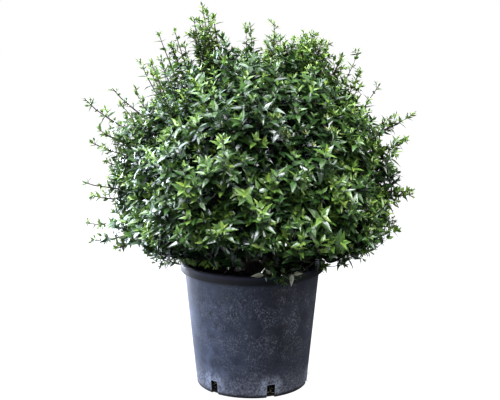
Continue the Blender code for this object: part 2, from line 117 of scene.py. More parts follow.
DIRT_AND_PAINTED_LIGHT_FACINGS = (  # axis, gain and ramp round the pot, of dirt and of painted sheen and shade
    ("X", 4.5, (0.15, 0.0), (0.75, 1.0)),  # brown side
    ("X", 2.5, (0.05, 0.0), (0.22, 1.0), (0.5, 0.9), (0.68, 0.0)),  # painted sheen, strongest just left of the middle, on front and back alike
    ("X", 2.5, (0.10, 0.35), (0.33, 1.0)),  # rained on
    ("Y", -2.5, (0.25, 0.25), (0.48, 1.0)),  # painted shade: less haze, fewer specks and less splashed dust on the back
)
DOTS = ((8.0, 3.4, 0.75), (4.5, 2.1, 0.8))  # pitch and width in mm, and the share of places that have one
SCUFFS = ((0.62, 0.0), (0.70, 1.0))
SCUFF_STRETCH = (1.0, 1.0, 0.07)
NEAR_SLOT = ((0.0, 1.0), (0.012, 0.85), (0.028, 0.0))
SLOT_BURR = ((0.0, 0.6), (0.0012, 0.5), (0.0025, 0.0))
DULLED = 0.36  # roughness that the dirt adds


def linear(code):
    """The linear colour of an sRGB hex code."""
    channels = [int(code[i : i + 2], 16) / 255 for i in (1, 3, 5)]
    return (*[c / 12.92 if c <= 0.04045 else ((c + 0.055) / 1.055) ** 2.4 for c in channels], 1.0)


def feed(node, inputs):
    """Sets inputs by name, or in the order of those in use. A node or a socket is linked, a value is set."""
    sockets = [socket for socket in node.inputs if socket.enabled]
    if isinstance(inputs, dict):
        sockets = [next(socket for socket in sockets if socket.name == name) for name in inputs]
        inputs = inputs.values()
    for socket, value in zip(sockets, inputs):
        if isinstance(value, bpy.types.Node):
            value = next(output for output in value.outputs if output.enabled)
        if isinstance(value, bpy.types.NodeSocket):
            node.id_data.links.new(value, socket)
        else:
            socket.default_value = value


def add(tree, kind, inputs=(), stops=(), **settings):
    """Adds a node with its settings and links. A color ramp has stops of (place, grey level or colour)."""
    node = tree.nodes.new(kind)
    for name, value in settings.items():
        setattr(node, name, value)
    for _ in stops[2:]:
        node.color_ramp.elements.new(1.0)
    for element, (place, level) in zip(node.color_ramp.elements if stops else (), stops):
        element.position = place
        element.color = level if isinstance(level, tuple) else (level, level, level, 1.0)
    feed(node, inputs)
    return node


def new_material(name, roughness):
    made = bpy.data.materials.new(name)
    made.use_nodes = True
    shader = made.node_tree.nodes["Principled BSDF"]
    feed(shader, {"Roughness": roughness})
    return made, made.node_tree, shader


def new_object(name, data):
    made = bpy.data.objects.new(name, data)
    bpy.context.scene.collection.objects.link(made)
    return made


def mesh_from(bm, name):
    mesh = bpy.data.meshes.new(name)
    bm.to_mesh(mesh)
    bm.free()
    return mesh


def filleted(corners, steps=5):
    """An outline from corners of (radius, height, rounding)."""
    line = []
    for index, (x, z, rounding) in enumerate(corners):
        here = Vector((x, z))
        if not rounding:
            line.append(here)
            continue
        back = (Vector(corners[index - 1][:2]) - here).normalized()
        ahead = (Vector(corners[index + 1][:2]) - here).normalized()
        reach = rounding / math.tan(back.angle(ahead) / 2)
        for step in range(steps + 1):
            t = step / steps
            line.append(here + back * reach * (1 - t) ** 2 + ahead * reach * t**2)
    return line


def turned(name, outline, sides):
    """A closed solid turned about Z from an outline of (radius, height) that starts and ends on the axis."""
    mesh = bpy.data.meshes.new(name)
    points = [(x, 0.0, z) for x, z in outline]
    mesh.from_pydata(points, [(i, i + 1) for i in range(len(points) - 1)], [])
    made = new_object(name, mesh)
    screw = made.modifiers.new("turn", "SCREW")
    screw.steps = screw.render_steps = sides
    screw.use_merge_vertices = True
    screw.merge_threshold = MERGE
    return made


def settled(obj, sharp_deg=None):
    """The object with its evaluated mesh in place of modifiers, smooth but for edges over the angle."""
    bpy.context.view_layer.update()
    mesh = bpy.data.meshes.new_from_object(obj.evaluated_get(bpy.context.evaluated_depsgraph_get()))
    obj.modifiers.clear()
    obj.data = mesh
    mesh.name = obj.name
    if sharp_deg is not None:
        mesh.shade_smooth()
        mesh.set_sharp_from_angle(angle=math.radians(sharp_deg))
    return obj


def body_radius(height):
    share = height / (POT_HEIGHT - RIM_SKIRT)
    return BODY_FOOT_RADIUS + (BODY_TOP_RADIUS - BODY_FOOT_RADIUS) * share


def make_pot():
    rim_inside = body_radius(POT_HEIGHT) - POT_WALL
    under_rim = POT_HEIGHT - POT_WALL - RIM_ROUND
    skirt = POT_HEIGHT - RIM_SKIRT
    inside = body_radius(POT_WALL) - POT_WALL
    inner_wall, outer_wall = [], []
    for i in range(1, INNER_STEPS):
        height = POT_WALL + (POT_HEIGHT - POT_WALL) * i / INNER_STEPS
        inner_wall.append((inside + (rim_inside - inside) * i / INNER_STEPS, height, 0))
    for i in range(OUTER_STEPS - 1, 0, -1):
        outer_wall.append((body_radius(under_rim * i / OUTER_STEPS), under_rim * i / OUTER_STEPS, 0))
    outline = filleted(
        [
            (0.0, POT_WALL, 0),
            (inside, POT_WALL, CORNER_ROUND),
            *inner_wall,
            (rim_inside, POT_HEIGHT, RIM_ROUND),
            (RIM_RADIUS, POT_HEIGHT, RIM_CROWN),
            (RIM_RADIUS - RIM_TAPER, skirt, SKIRT_ROUND),
            (RIM_RADIUS - POT_WALL, skirt, SKIRT_ROUND),
            (RIM_RADIUS - POT_WALL, under_rim, CORNER_ROUND),
            (body_radius(under_rim), under_rim, NECK_ROUND),
            *outer_wall,
            (BODY_FOOT_RADIUS, 0.0, FOOT_ROUND),
            (0.0, 0.0, 0),
        ]
    )
    pot = turned("nursery_pot", outline, POT_SIDES)
    cutters = bpy.data.collections.new("slot_cutters")
    bpy.context.scene.collection.children.link(cutters)
    for index in range(SLOTS):
        angle = math.radians(FIRST_SLOT_DEG + index * 360.0 / SLOTS)
        cutters.objects.link(slot_cutter(angle))
    cut = pot.modifiers.new("slots", "BOOLEAN")
    cut.operand_type = "COLLECTION"
    cut.collection = cutters
    cut.solver = "EXACT"
    settled(pot, SHARP_DEG)
    for cutter in list(cutters.objects):
        bpy.data.objects.remove(cutter, do_unlink=True)
    bpy.data.collections.remove(cutters)
    return pot


def slot_cutter(angle):
    """A box through the corner of the pot's wall and floor, its upper edges rounded."""
    size = Vector((SLOT_WIDTH, SLOT_DEPTH + CUTTER_OVER, SLOT_HEIGHT + CUTTER_OVER))
    middle = BODY_FOOT_RADIUS - SLOT_DEPTH + size.y / 2
    bm = bmesh.new()
    bmesh.ops.create_cube(bm, size=1.0, matrix=Matrix.Diagonal((*size, 1.0)))
    top = [edge for edge in bm.edges if all(vert.co.z > 0 for vert in edge.verts)]
    top = [edge for edge in top if abs(edge.verts[0].co.x - edge.verts[1].co.x) < 1e-6]
    bmesh.ops.bevel(bm, geom=top, offset=SLOT_ROUND, segments=4, affect="EDGES", profile=0.5)
    bmesh.ops.translate(bm, vec=(0.0, -middle, SLOT_HEIGHT - size.z / 2), verts=bm.verts)
    bmesh.ops.rotate(bm, matrix=Matrix.Rotation(angle, 3, "Z"), verts=bm.verts)
    return bpy.data.objects.new("slot_cutter", mesh_from(bm, "slot_cutter"))


def dots(tree, where, pitch_mm, width_mm, share):
    """Round dots of about this width, in a share of the cells of a loose grid."""
    cells = add(tree, "ShaderNodeTexVoronoi", [where, PER_METRE / pitch_mm]).outputs
    pick = add(tree, "ShaderNodeSeparateColor", [cells["Color"]])
    reach = width_mm / 2 / pitch_mm
    inside = add(tree, RAMP, [cells["Distance"]], [(reach * 0.6, 1.0), (reach * 1.3, 0.0)])
    chosen = add(tree, RAMP, [pick], [(1.0 - share, 0.0), (1.0, 1.0)])
    return add(tree, MATH, [inside, chosen], operation="MULTIPLY")


def moulded_polypropylene():
    """Black moulded polypropylene: a soft, slightly blue gloss, dulled where lime and dust have dried. Its
    colour also holds a painted sheen, painted shade on the back and about the lip, a painted highlight on the
    lip and a painted shadow along the foot.
    """
    made, tree, shader = new_material("moulded_black_polypropylene", 0.5)
    where = add(tree, PLACE).outputs["Object"]
    place = add(tree, "ShaderNodeSeparateXYZ", [where]).outputs
    drift, film, patch, crust, splash, rubbed, torn = (
        add(tree, RAMP, [add(tree, NOISE, [where, PER_METRE / size, detail, roughness])], stops)
        for size, detail, roughness, *stops in DIRT_SPOTS
    )
    # Among these ramps are painted shade under and over the lip, a painted shadow along the foot's lower edge
    # and a painted highlight on the lip's crown.
    belly, foot, lip_painted_shade, foot_painted_shadow, lip_painted_highlight, worn = (add(tree, RAMP, [place["Z"]], stops) for stops in DIRT_AND_PAINTED_LIGHT_BANDS)
    # Among these are a painted sheen left of the middle and painted shade on the back.
    side, painted_sheen, rained_on, painted_back_shade = (
        add(tree, RAMP, [add(tree, MATH, [place[axis], gain, 0.5], operation="MULTIPLY_ADD")], stops)
        for axis, gain, *stops in DIRT_AND_PAINTED_LIGHT_FACINGS
    )
    # Haze in drifts a hand wide, merged with a painted sheen left of the middle and thinned on the back as
    # painted shade; browner where compost has washed down the side.
    haze_and_sheen = add(tree, MATH, [drift, painted_sheen], operation="MAXIMUM")
    for share in (film, painted_back_shade):
        haze_and_sheen = add(tree, MATH, [haze_and_sheen, share], operation="MULTIPLY")
    brown = add(tree, MATH, [side, film], operation="MULTIPLY")
    # Dried drops, thickest round the belly and the foot: clumps of fine crust and single round ones.
    drops = add(tree, MATH, [belly, patch], operation="MULTIPLY")
    # fewer drops on the back, as painted shade
    rained_on = add(tree, MATH, [rained_on, painted_back_shade], operation="MULTIPLY")
    thick = add(tree, MATH, [drops, rained_on], operation="MULTIPLY")
    single = add(tree, MATH, [dots(tree, where, *kind) for kind in DOTS], operation="MAXIMUM")
    specks = add(tree, MATH, [crust, single], operation="MAXIMUM")
    specks = add(tree, MATH, [specks, thick], operation="MULTIPLY")
    # Upright scuffs, as pots leave on each other when they are stacked.
    stretched = add(tree, "ShaderNodeMapping", {"Vector": where, "Scale": SCUFF_STRETCH})
    scuffs = add(tree, RAMP, [add(tree, NOISE, [stretched, PER_METRE / 3.2, 2.0, 0.6])], SCUFFS)
    faint = add(tree, MATH, [thick, 0.5], operation="MULTIPLY")
    scuffs = add(tree, MATH, [scuffs, faint], operation="MULTIPLY")
    # Grey compost dust that rain has splashed on the foot, less of it on the back as painted shade.
    splash = add(tree, MATH, [foot, splash], operation="MULTIPLY")
    splash = add(tree, MATH, [splash, painted_back_shade], operation="MULTIPLY")
    # Paler, chalky plastic where the slots' edges were trimmed, in a patch drawn up over each slot.
    turned_back = add(tree, MATH, [place["Y"], -1.0], operation="MULTIPLY")
    aside = add(tree, MATH, [place["X"], turned_back], operation="ARCTAN2")
    for operation, value in (
        ("SUBTRACT", math.radians(FIRST_SLOT_DEG) - SLOT_PITCH / 2),
        ("FLOORED_MODULO", SLOT_PITCH),
        ("SUBTRACT", SLOT_PITCH / 2),
        ("ABSOLUTE", None),
        ("MULTIPLY", BODY_FOOT_RADIUS),
        ("SUBTRACT", SLOT_WIDTH / 2),
        ("MAXIMUM", 0.0),
    ):
        aside = add(tree, MATH, [aside, value], operation=operation)
    above = add(tree, MATH, [place["Z"], SLOT_HEIGHT], operation="SUBTRACT")
    above = add(tree, MATH, [above, 0.0], operation="MAXIMUM")
    away = add(tree, "ShaderNodeCombineXYZ", [aside, above])
    away = add(tree, "ShaderNodeVectorMath", [away], operation="LENGTH")
    rubbed = add(tree, MATH, [rubbed, torn], operation="MULTIPLY")
    rubbed = add(tree, MATH, [add(tree, RAMP, [away], NEAR_SLOT), rubbed], operation="MULTIPLY")
    chalk = add(tree, MATH, [rubbed, add(tree, RAMP, [away], SLOT_BURR)], operation="MAXIMUM")
    # The layers one over the other, up to the painted shade under and over the lip, the painted shadow along
    # the foot's lower edge and a painted highlight on the lip's crown.
    colour = linear("#232835")
    for share, layer in (
        (haze_and_sheen, "#58627B"),
        (brown, "#37353B"),
        (add(tree, MATH, [specks, 0.85], operation="MULTIPLY"), "#B0B3BF"),
        (scuffs, "#70768A"),
        (splash, "#93949E"),
        (add(tree, MATH, [chalk, 0.9], operation="MULTIPLY"), "#BCC5D8"),
        # painted shade under and over the lip, and a painted contact shadow along the foot's lower edge
        (add(tree, MATH, [lip_painted_shade, foot_painted_shadow], operation="MAXIMUM"), "#08090B"),
        # painted highlight along the lip's crown
        (lip_painted_highlight, "#2E2D46"),
    ):
        colour = add(tree, MIX, [share, colour, linear(layer)], data_type="RGBA")
    # All that lies on the plastic dulls it, and the lip is scuffed.
    crusted = add(tree, MATH, [specks, chalk], operation="MAXIMUM")
    dull = add(tree, MATH, [crusted, add(tree, MATH, [haze_and_sheen, 0.6], operation="MULTIPLY")], operation="MAXIMUM")
    gloss = add(tree, MATH, [dull, DULLED, worn], operation="MULTIPLY_ADD")
    grain = add(tree, NOISE, [where, PER_METRE / 1.6, 2.0, 0.55])
    grain = add(tree, MATH, [grain, 0.35, 0.5], operation="MULTIPLY_ADD")
    height = add(tree, MATH, [grain, add(tree, MATH, [specks, 0.5], operation="MULTIPLY")], operation="ADD")
    relief = add(tree, BUMP, {"Strength": 0.4, "Distance": 0.0003, "Height": height})
    feed(shader, {"Base Color": colour, "Roughness": gloss, "Specular IOR Level": 0.5, "Normal": relief})
    return made


pot = make_pot()
pot.data.materials.clear()
pot.data.materials.append(moulded_polypropylene())
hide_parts("pot")
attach(pot, "root")


# ---------------------------------------------------------------- bark compost
# Moist composted bark with some peat, filled to a little under the rim and settled by watering.
# Flakes of bark lie on top, and a few coir fibres hang out of the drain slots.

SOIL_TOP = 0.320
SOIL_GAP = 0.0006
SOIL_LUMPS = 0.0035
SOIL_RINGS = 34
SOIL_SIDE_RINGS = 24
SOIL_SIDES = 144
SOIL_SHARP_DEG = 60.0
SOIL_AREA = 0.108  # square metres on top
SOIL_SEED = 7
SOIL_WAVES = 26
SOIL_WAVE_PITCHES = (60, 420)
SOIL_EDGE = 0.012  # as wide as the smoother edge by the wall
SOIL_SUNK = 0.002
FLAKES = 1100
FLAKE_SIZE = 0.011
FLAKE_SIZES = (0.35, 1.25)  # times that
FLAKE_WIDTH = 0.55  # of a length of 1
FLAKE_THICKNESS = 0.22
FLAKE_UNEVEN = 0.09
FLAKE_CHAMFER = 0.05
FLAKES_TO = 0.172  # from the middle, so that none reaches through the wall
WASHED_OUT = 0.022  # how far the compost has washed back from a slot,
WASHED_WIDTH = 0.65  # over this share of its width to each side,
WASHED_OVER = 0.010  # and this far over it
COIR_FIBRES = 7  # at each slot
COIR_LENGTHS = (0.012, 0.024)
COIR_RADIUS = 0.0008
COIR_BACK = 0.012  # how far behind the pot's face they start
COMPARE, RANDOM, INSTANCE = "FunctionNodeCompare", "FunctionNodeRandomValue", "GeometryNodeInstanceOnPoints"
REALIZE, FINISH = "GeometryNodeRealizeInstances", "GeometryNodeSetMaterial"
ATTRIBUTE = "GeometryNodeInputNamedAttribute"


def make_compost():
    inset = bottom = POT_WALL + SOIL_GAP
    top_radius = body_radius(SOIL_TOP) - inset
    top = [(top_radius * i / SOIL_RINGS, SOIL_TOP) for i in range(SOIL_RINGS + 1)]
    side = [(body_radius(z) - inset, z) for z in np.linspace(SOIL_TOP, bottom, SOIL_SIDE_RINGS)[1:]]
    soil = settled(turned("compost", [*top, *side, (0.0, bottom)], SOIL_SIDES), SOIL_SHARP_DEG)
    deal = random.Random(SOIL_SEED)
    waves = []
    for _ in range(SOIL_WAVES):
        waves.append((deal.uniform(*SOIL_WAVE_PITCHES), deal.uniform(0, math.tau), deal.uniform(0, math.tau)))
    first_slot = math.radians(FIRST_SLOT_DEG)
    for vert in soil.data.vertices:
        x, y, z = vert.co
        level = math.hypot(x, y)
        bulge = 0.0
        for pitch, way, start in waves:
            across_wave = x * math.cos(way) + y * math.sin(way)
            bulge += math.sin(pitch * across_wave + pitch * z * 0.7 + start) / pitch
        bulge *= SOIL_LUMPS / 0.02
        if z > SOIL_TOP - 1e-4:
            edge = min(1.0, (top_radius - level) / SOIL_EDGE)
            vert.co.z += (bulge - SOIL_SUNK) * edge
        elif z > bottom + 1e-4:
            turn = (math.atan2(x, -y) - first_slot + SLOT_PITCH / 2) % SLOT_PITCH - SLOT_PITCH / 2
            washed = WASHED_OUT * math.exp(-((turn * level / (SLOT_WIDTH * WASHED_WIDTH)) ** 4))
            washed *= math.exp(-((max(0.0, z - SLOT_HEIGHT) / WASHED_OVER) ** 2))
            share = 1.0 - (abs(bulge) * 0.6 + washed) / level
            vert.co.x *= share
            vert.co.y *= share
    return soil


def flake_shape():
    """A flat, uneven chip of bark, about 1 across."""
    bm = bmesh.new()
    bmesh.ops.create_cube(bm, size=1.0)
    deal = random.Random(3)
    for vert in bm.verts:
        vert.co = Vector((vert.co.x, vert.co.y * FLAKE_WIDTH, vert.co.z * FLAKE_THICKNESS))
        vert.co += Vector([deal.uniform(-FLAKE_UNEVEN, FLAKE_UNEVEN) for _ in range(3)])
    bmesh.ops.bevel(bm, geom=bm.edges, offset=FLAKE_CHAMFER, segments=1, affect="EDGES")
    bmesh.ops.triangulate(bm, faces=bm.faces)
    return bpy.data.objects.new("flake", mesh_from(bm, "flake"))


def new_tree(name, inputs, made):
    """A geometry node tree with inputs of these kinds and one output, and what comes in by the inputs."""
    tree = bpy.data.node_groups.new(name, "GeometryNodeTree")
    for socket, kind in inputs.items():
        tree.interface.new_socket(socket, in_out="INPUT", socket_type=f"NodeSocket{kind}")
    tree.interface.new_socket(made, in_out="OUTPUT", socket_type="NodeSocketGeometry")
    return tree, add(tree, "NodeGroupInput").outputs


def flake_tree(material):
    """Geometry nodes that strew turned and sized flakes over a surface's upward faces."""
    kinds = {"Surface": "Geometry", "Flake": "Object", "Per square metre": "Float", "Size": "Float"}
    tree, given = new_tree("strewn_flakes", kinds, "Flakes")
    position = add(tree, "GeometryNodeInputPosition")
    height = add(tree, "ShaderNodeSeparateXYZ", [position]).outputs["Z"]
    level = add(tree, "ShaderNodeVectorMath", [position, (1.0, 1.0, 0.0)], operation="MULTIPLY")
    level = add(tree, "ShaderNodeVectorMath", [level], operation="LENGTH")
    upper = add(tree, COMPARE, [height, SOIL_TOP - 0.012], operation="GREATER_THAN")
    inside = add(tree, COMPARE, [level, FLAKES_TO], operation="LESS_THAN")
    chosen = add(tree, "FunctionNodeBooleanMath", [upper, inside], operation="AND")
    spread = {"Mesh": given["Surface"], "Selection": chosen, "Density": given["Per square metre"], "Seed": 11}
    spots = add(tree, "GeometryNodeDistributePointsOnFaces", spread)
    least, most = (-0.5, -0.5, 0.0), (0.5, 0.5, math.tau)  # nearly flat, turned any way
    turns = add(tree, RANDOM, {"Min": least, "Max": most, "Seed": 12}, data_type="FLOAT_VECTOR")
    least, most = FLAKE_SIZES
    sizes = add(tree, RANDOM, {"Min": least, "Max": most, "Seed": 13}, data_type="FLOAT")
    scale = add(tree, MATH, [sizes, given["Size"]], operation="MULTIPLY")
    shape = add(tree, "GeometryNodeObjectInfo", {"Object": given["Flake"], "As Instance": True})
    strewn = {"Points": spots, "Instance": shape.outputs["Geometry"], "Rotation": turns, "Scale": scale}
    real = add(tree, REALIZE, [add(tree, INSTANCE, strewn)])
    add(tree, "NodeGroupOutput", [add(tree, FINISH, {"Geometry": real, "Material": material})])
    return tree


def grown(name, source, tree, **inputs):
    """A plain mesh object of what a tree makes of the source. Inputs are set by socket identifier."""
    made = new_object(name, source)
    modifier = made.modifiers.new("grow", "NODES")
    modifier.node_group = tree
    for socket in tree.interface.items_tree:
        if socket.in_out == "INPUT" and socket.name in inputs:
            modifier[socket.identifier] = inputs[socket.name]
    return settled(made)


def stick_lines(name, sticks):
    """Loose lines from (points, radius at the foot, radius at the tip, which finish), kept as attributes."""
    places, radii, second, edges = [], [], [], []
    for line, foot_radius, tip_radius, is_second in sticks:
        first = len(places)
        for index, place in enumerate(line):
            places.append(place)
            radii.append(foot_radius + (tip_radius - foot_radius) * index / (len(line) - 1))
            second.append(float(is_second))
        edges += [(first + i, first + i + 1) for i in range(len(line) - 1)]
    mesh = bpy.data.meshes.new(name)
    mesh.from_pydata(places, edges, [])
    mesh.attributes.new("thick", "FLOAT", "POINT").data.foreach_set("value", radii)
    mesh.attributes.new("second", "FLOAT", "POINT").data.foreach_set("value", second)
    return mesh


def stick_tree(first_finish, second_finish):
    """Geometry nodes that turn lines into closed, tapering sticks."""
    tree, given = new_tree("tapering_sticks", {"Lines": "Geometry", "Sides": "Int"}, "Sticks")
    lines = add(tree, "GeometryNodeMeshToCurve", [given["Lines"]])
    circle = add(tree, "GeometryNodeCurvePrimitiveCircle", {"Resolution": given["Sides"], "Radius": 1.0})
    thick, second = (add(tree, ATTRIBUTE, [name], data_type="FLOAT") for name in ("thick", "second"))
    swept = {"Curve": lines, "Profile Curve": circle, "Scale": thick, "Fill Caps": True}
    real = add(tree, REALIZE, [add(tree, "GeometryNodeCurveToMesh", swept)])
    first = add(tree, FINISH, {"Geometry": real, "Material": first_finish})
    chosen = add(tree, COMPARE, [second, 0.5], operation="GREATER_THAN")
    last = add(tree, FINISH, {"Geometry": first, "Selection": chosen, "Material": second_finish})
    add(tree, "NodeGroupOutput", [last])
    return tree


def plain_finish(name, colour, roughness, gloss=0.5):
    made, _, shader = new_material(name, roughness)
    feed(shader, {"Base Color": linear(colour), "Specular IOR Level": gloss})
    return made


def fibre_lines():
    """Curled fibres that start in the compost behind each slot and come out through it."""
    deal = random.Random(17)
    fibres = []
    for index in range(SLOTS):
        for _ in range(COIR_FIBRES):
            turn = math.radians(FIRST_SLOT_DEG) + index * SLOT_PITCH + deal.uniform(-0.05, 0.07)
            out = Vector((math.sin(turn), -math.cos(turn), 0.0))
            aside = Vector((-out.y, out.x, 0.0))
            height = deal.uniform(0.006, SLOT_HEIGHT * 0.8)
            place = out * (BODY_FOOT_RADIUS - COIR_BACK) + Vector((0.0, 0.0, height))
            heading = out + aside * deal.uniform(-0.9, 0.9) + Vector((0.0, 0.0, deal.uniform(-0.2, 0.7)))
            heading.normalize()
            curl = Vector([deal.uniform(-1.0, 1.0) for _ in range(3)]) - out * 0.5
            length = deal.uniform(*COIR_LENGTHS)
            steps = (0.0, 0.25, 0.5, 0.75, 1.0)
            line = [place + heading * length * t + curl * length * 0.5 * t * t for t in steps]
            fibres.append((line, COIR_RADIUS, COIR_RADIUS * 0.5, False))
    return fibres


def bark_compost():
    """Moist composted bark: dark brown crumbs with paler fibres, quite without gloss."""
    made, tree, shader = new_material("composted_bark", 0.92)
    where = add(tree, PLACE).outputs["Object"]
    crumbs = add(tree, NOISE, [where, PER_METRE / 6, 5.0, 0.7])
    stops = [(0.30, linear("#0B0908")), (0.52, linear("#1C1512")), (0.72, linear("#3A2C22"))]
    colour = add(tree, RAMP, [crumbs], stops)
    straw = add(tree, NOISE, [where, PER_METRE / 2.2, 2.0, 0.55])
    straw = add(tree, RAMP, [straw], [(0.70, 0.0), (0.76, 0.7)])
    colour = add(tree, MIX, [straw, colour, linear("#8A7B62")], data_type="RGBA")
    relief = add(tree, BUMP, {"Strength": 0.9, "Distance": 0.0025, "Height": crumbs})
    feed(shader, {"Base Color": colour, "Normal": relief})
    return made


def bark_flake():
    """Pine bark flakes: red-brown corky plates, matt, in patches of darker and lighter brown."""
    made, tree, shader = new_material("pine_bark_flake", 0.9)
    plates = add(tree, NOISE, [add(tree, PLACE).outputs["Object"], PER_METRE / 12, 4.0, 0.7])
    stops = [(0.32, linear("#17100C")), (0.55, linear("#33241A")), (0.75, linear("#5A4230"))]
    feed(shader, {"Base Color": add(tree, RAMP, [plates], stops)})
    return made


soil = make_compost()
soil.data.materials.clear()
soil.data.materials.append(bark_compost())
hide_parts("potting_soil")
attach(soil, "root")

flake = flake_shape()
flakes = grown(
    "bark_flakes",
    soil.data,
    flake_tree(bark_flake()),
    **{"Flake": flake, "Per square metre": FLAKES / SOIL_AREA, "Size": FLAKE_SIZE},
)
bpy.data.objects.remove(flake)
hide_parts("potting_soil")
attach(flakes, "root")

coir_skin = plain_finish("coir_fibre", "#A9A48E", 0.8)
fibre_source = stick_lines("coir_fibres", fibre_lines())
fibres = grown("coir_fibres", fibre_source, stick_tree(coir_skin, coir_skin), Sides=3)
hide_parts("potting_soil")
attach(fibres, "root")


# ---------------------------------------------------------------- woody base and stems
# The shrub's crown of roots ends in one low, knotty base on the compost, and nineteen stems
# rise from it like a fan. The bark is thin, grey-brown, and flakes in upright strips.

KNUCKLE_RADIUS = 0.038
KNUCKLE_FLARE = 0.050
KNUCKLE_RISE = 0.024  # of its centre over the soil
FAN = Vector((0.0, 0.0, SOIL_TOP + KNUCKLE_RISE))
CROWN_SPREAD = 0.400
CROWN_RISE = 0.618
CROWN_SQUARENESS = 2.7
TUCK = 0.35  # the skirt draws in by this share just over the rim
TUCK_DEG = 9.0
DROOP = 0.05  # each mass is domed: its edge lies lower than its middle by this share
DROOP_DEG = 22.0
RINGS = (  # name, how many, their height over the knuckle and the first one's azimuth, from +X
    ("top", 1, 90.0, 0.0),
    ("upper", 5, 60.0, 180.0),
    ("middle", 6, 34.0, 0.0),
    ("lower", 7, 11.5, 180.0),
)
LOBES = (  # azimuth and elevation, how wide they spread, and their gain over the even skin
    (180.0, 79.0, 8.0, 0.055), (0.0, 75.0, 9.0, 0.05), (0.0, 39.0, 11.0, 0.09),
    (180.0, 43.0, 11.0, 0.055), (0.0, 27.0, 8.0, 0.03), (180.0, 8.0, 8.0, 0.07), (0.0, 4.0, 8.0, 0.05),
    (0.0, 90.0, 8.0, -0.03), (0.0, 57.0, 9.0, -0.05), (180.0, 58.0, 9.0, -0.05),
    (0.0, 15.0, 7.0, -0.05), (180.0, 20.0, 8.0, -0.03), (-95.0, 48.0, 16.0, 0.04),
    (-60.0, 20.0, 14.0, 0.03), (-125.0, 30.0, 14.0, 0.03), (85.0, 42.0, 18.0, 0.05),
    (130.0, 18.0, 14.0, 0.04), (50.0, 12.0, 14.0, 0.04),
)
SKIRT_EDGE = 0.354  # the foliage's lower edge over the rim,
SKIRT_TURN = 0.250  # level as far out as this,
SKIRT_SLOPE = 0.55  # and rising from there
SKIRT_LIFT = 0.034  # higher on one side
SKIRT_LIFT_AT = -108.0
SKIRT_LIFT_DEG = 58.0
BOUGH_REACH = 0.42  # share of the way to the skin
BOUGH_FOOT_RADIUS = 0.0056
BOUGH_TIP_RADIUS = 0.0038
BOUGH_ROOT = 0.010  # how deep it starts in the knuckle
BOUGH_LEAD = 0.008
START_LIFT = 0.16
BARK_SIDES = 12
BARK_RELIEF = 0.16  # share of a stem's radius
BOUGH_STEPS = 34
KNOT_PITCH = 0.034
KNOT_LENGTH = 0.004
KNOT_BULGE = 0.22  # share of a stem's radius
KNUCKLE_SIDES = 40
KNUCKLE_STEPS = 8
KNUCKLE_BURLS = 0.14  # share of its radius


def direction(azimuth_deg, elevation_deg):
    azimuth, elevation = math.radians(azimuth_deg), math.radians(elevation_deg)
    level = math.cos(elevation)
    return Vector((level * math.cos(azimuth), level * math.sin(azimuth), math.sin(elevation)))


AXES = {
    f"{ring}_{index + 1}": direction(first + index * 360.0 / count, elevation)
    for ring, count, elevation, first in RINGS
    for index in range(count)
}
LOBE_AXES = [(direction(*way), math.radians(width), gain) for *way, width, gain in LOBES]


def even_skin(along):
    """The distance from the fan point to the crown's skin."""
    level = math.hypot(along.x, along.y)
    share = (level / CROWN_SPREAD) ** CROWN_SQUARENESS
    share += (max(along.z, 0.0) / CROWN_RISE) ** CROWN_SQUARENESS
    elevation = math.degrees(math.atan2(along.z, level))
    tuck = 1.0 - TUCK * math.exp(-((max(elevation, 0.0) / TUCK_DEG) ** 2))
    lobes = sum(gain * math.exp(-((along.angle(axis) / width) ** 2)) for axis, width, gain in LOBE_AXES)
    return tuck * (1.0 + lobes) * share ** (-1.0 / CROWN_SQUARENESS)


def skirt_lift(place):
    """How much higher the skirt's edge is on this side of the plant."""
    turn = (math.degrees(math.atan2(place.y, place.x)) - SKIRT_LIFT_AT + 180.0) % 360.0 - 180.0
    return SKIRT_LIFT * math.exp(-((turn / SKIRT_LIFT_DEG) ** 2))


def skirt_edge(place):
    """The height of the foliage's lower edge over this place."""
    level = math.hypot(place.x, place.y)
    return SKIRT_EDGE + skirt_lift(place) + SKIRT_SLOPE * max(0.0, level - SKIRT_TURN)


def nearest_mass(along):
    return max(AXES, key=lambda name: along.dot(AXES[name]))


def skin(name, along):
    """The distance to the skin as one mass domes it."""
    off_axis = math.degrees(along.angle(AXES[name]))
    return even_skin(along) * (1.0 - DROOP * min(1.0, off_axis / DROOP_DEG) ** 2)


def bezier(a, b, c, d, t):
    s = 1.0 - t
    return a * s**3 + b * (3 * s * s * t) + c * (3 * s * t * t) + d * t**3


def bough_line(name, steps):
    """The bough's middle line: it leaves the knuckle square to it, bends out and ends along its axis."""
    axis = AXES[name]
    rise = (axis + Vector((0.0, 0.0, START_LIFT * (1.0 - axis.z)))).normalized()
    start = FAN + rise * (KNUCKLE_RADIUS - BOUGH_ROOT)
    end = FAN + axis * skin(name, axis) * BOUGH_REACH
    after, before = FAN + rise * (KNUCKLE_RADIUS + BOUGH_LEAD), end - axis * BOUGH_LEAD
    third = (before - after).length / 3.0
    handles = after, after + rise * third, before - axis * third, before
    return [start, *[bezier(*handles, i / steps) for i in range(steps + 1)], end]


def skinned(bm, rings):
    """Closes rings of vertices into one solid, with flat ends."""
    for near, far in zip(rings, rings[1:]):
        for i in range(len(near)):
            j = (i + 1) % len(near)
            bm.faces.new((near[i], near[j], far[j], far[i]))
    bm.faces.new(rings[0][::-1])
    bm.faces.new(rings[-1])


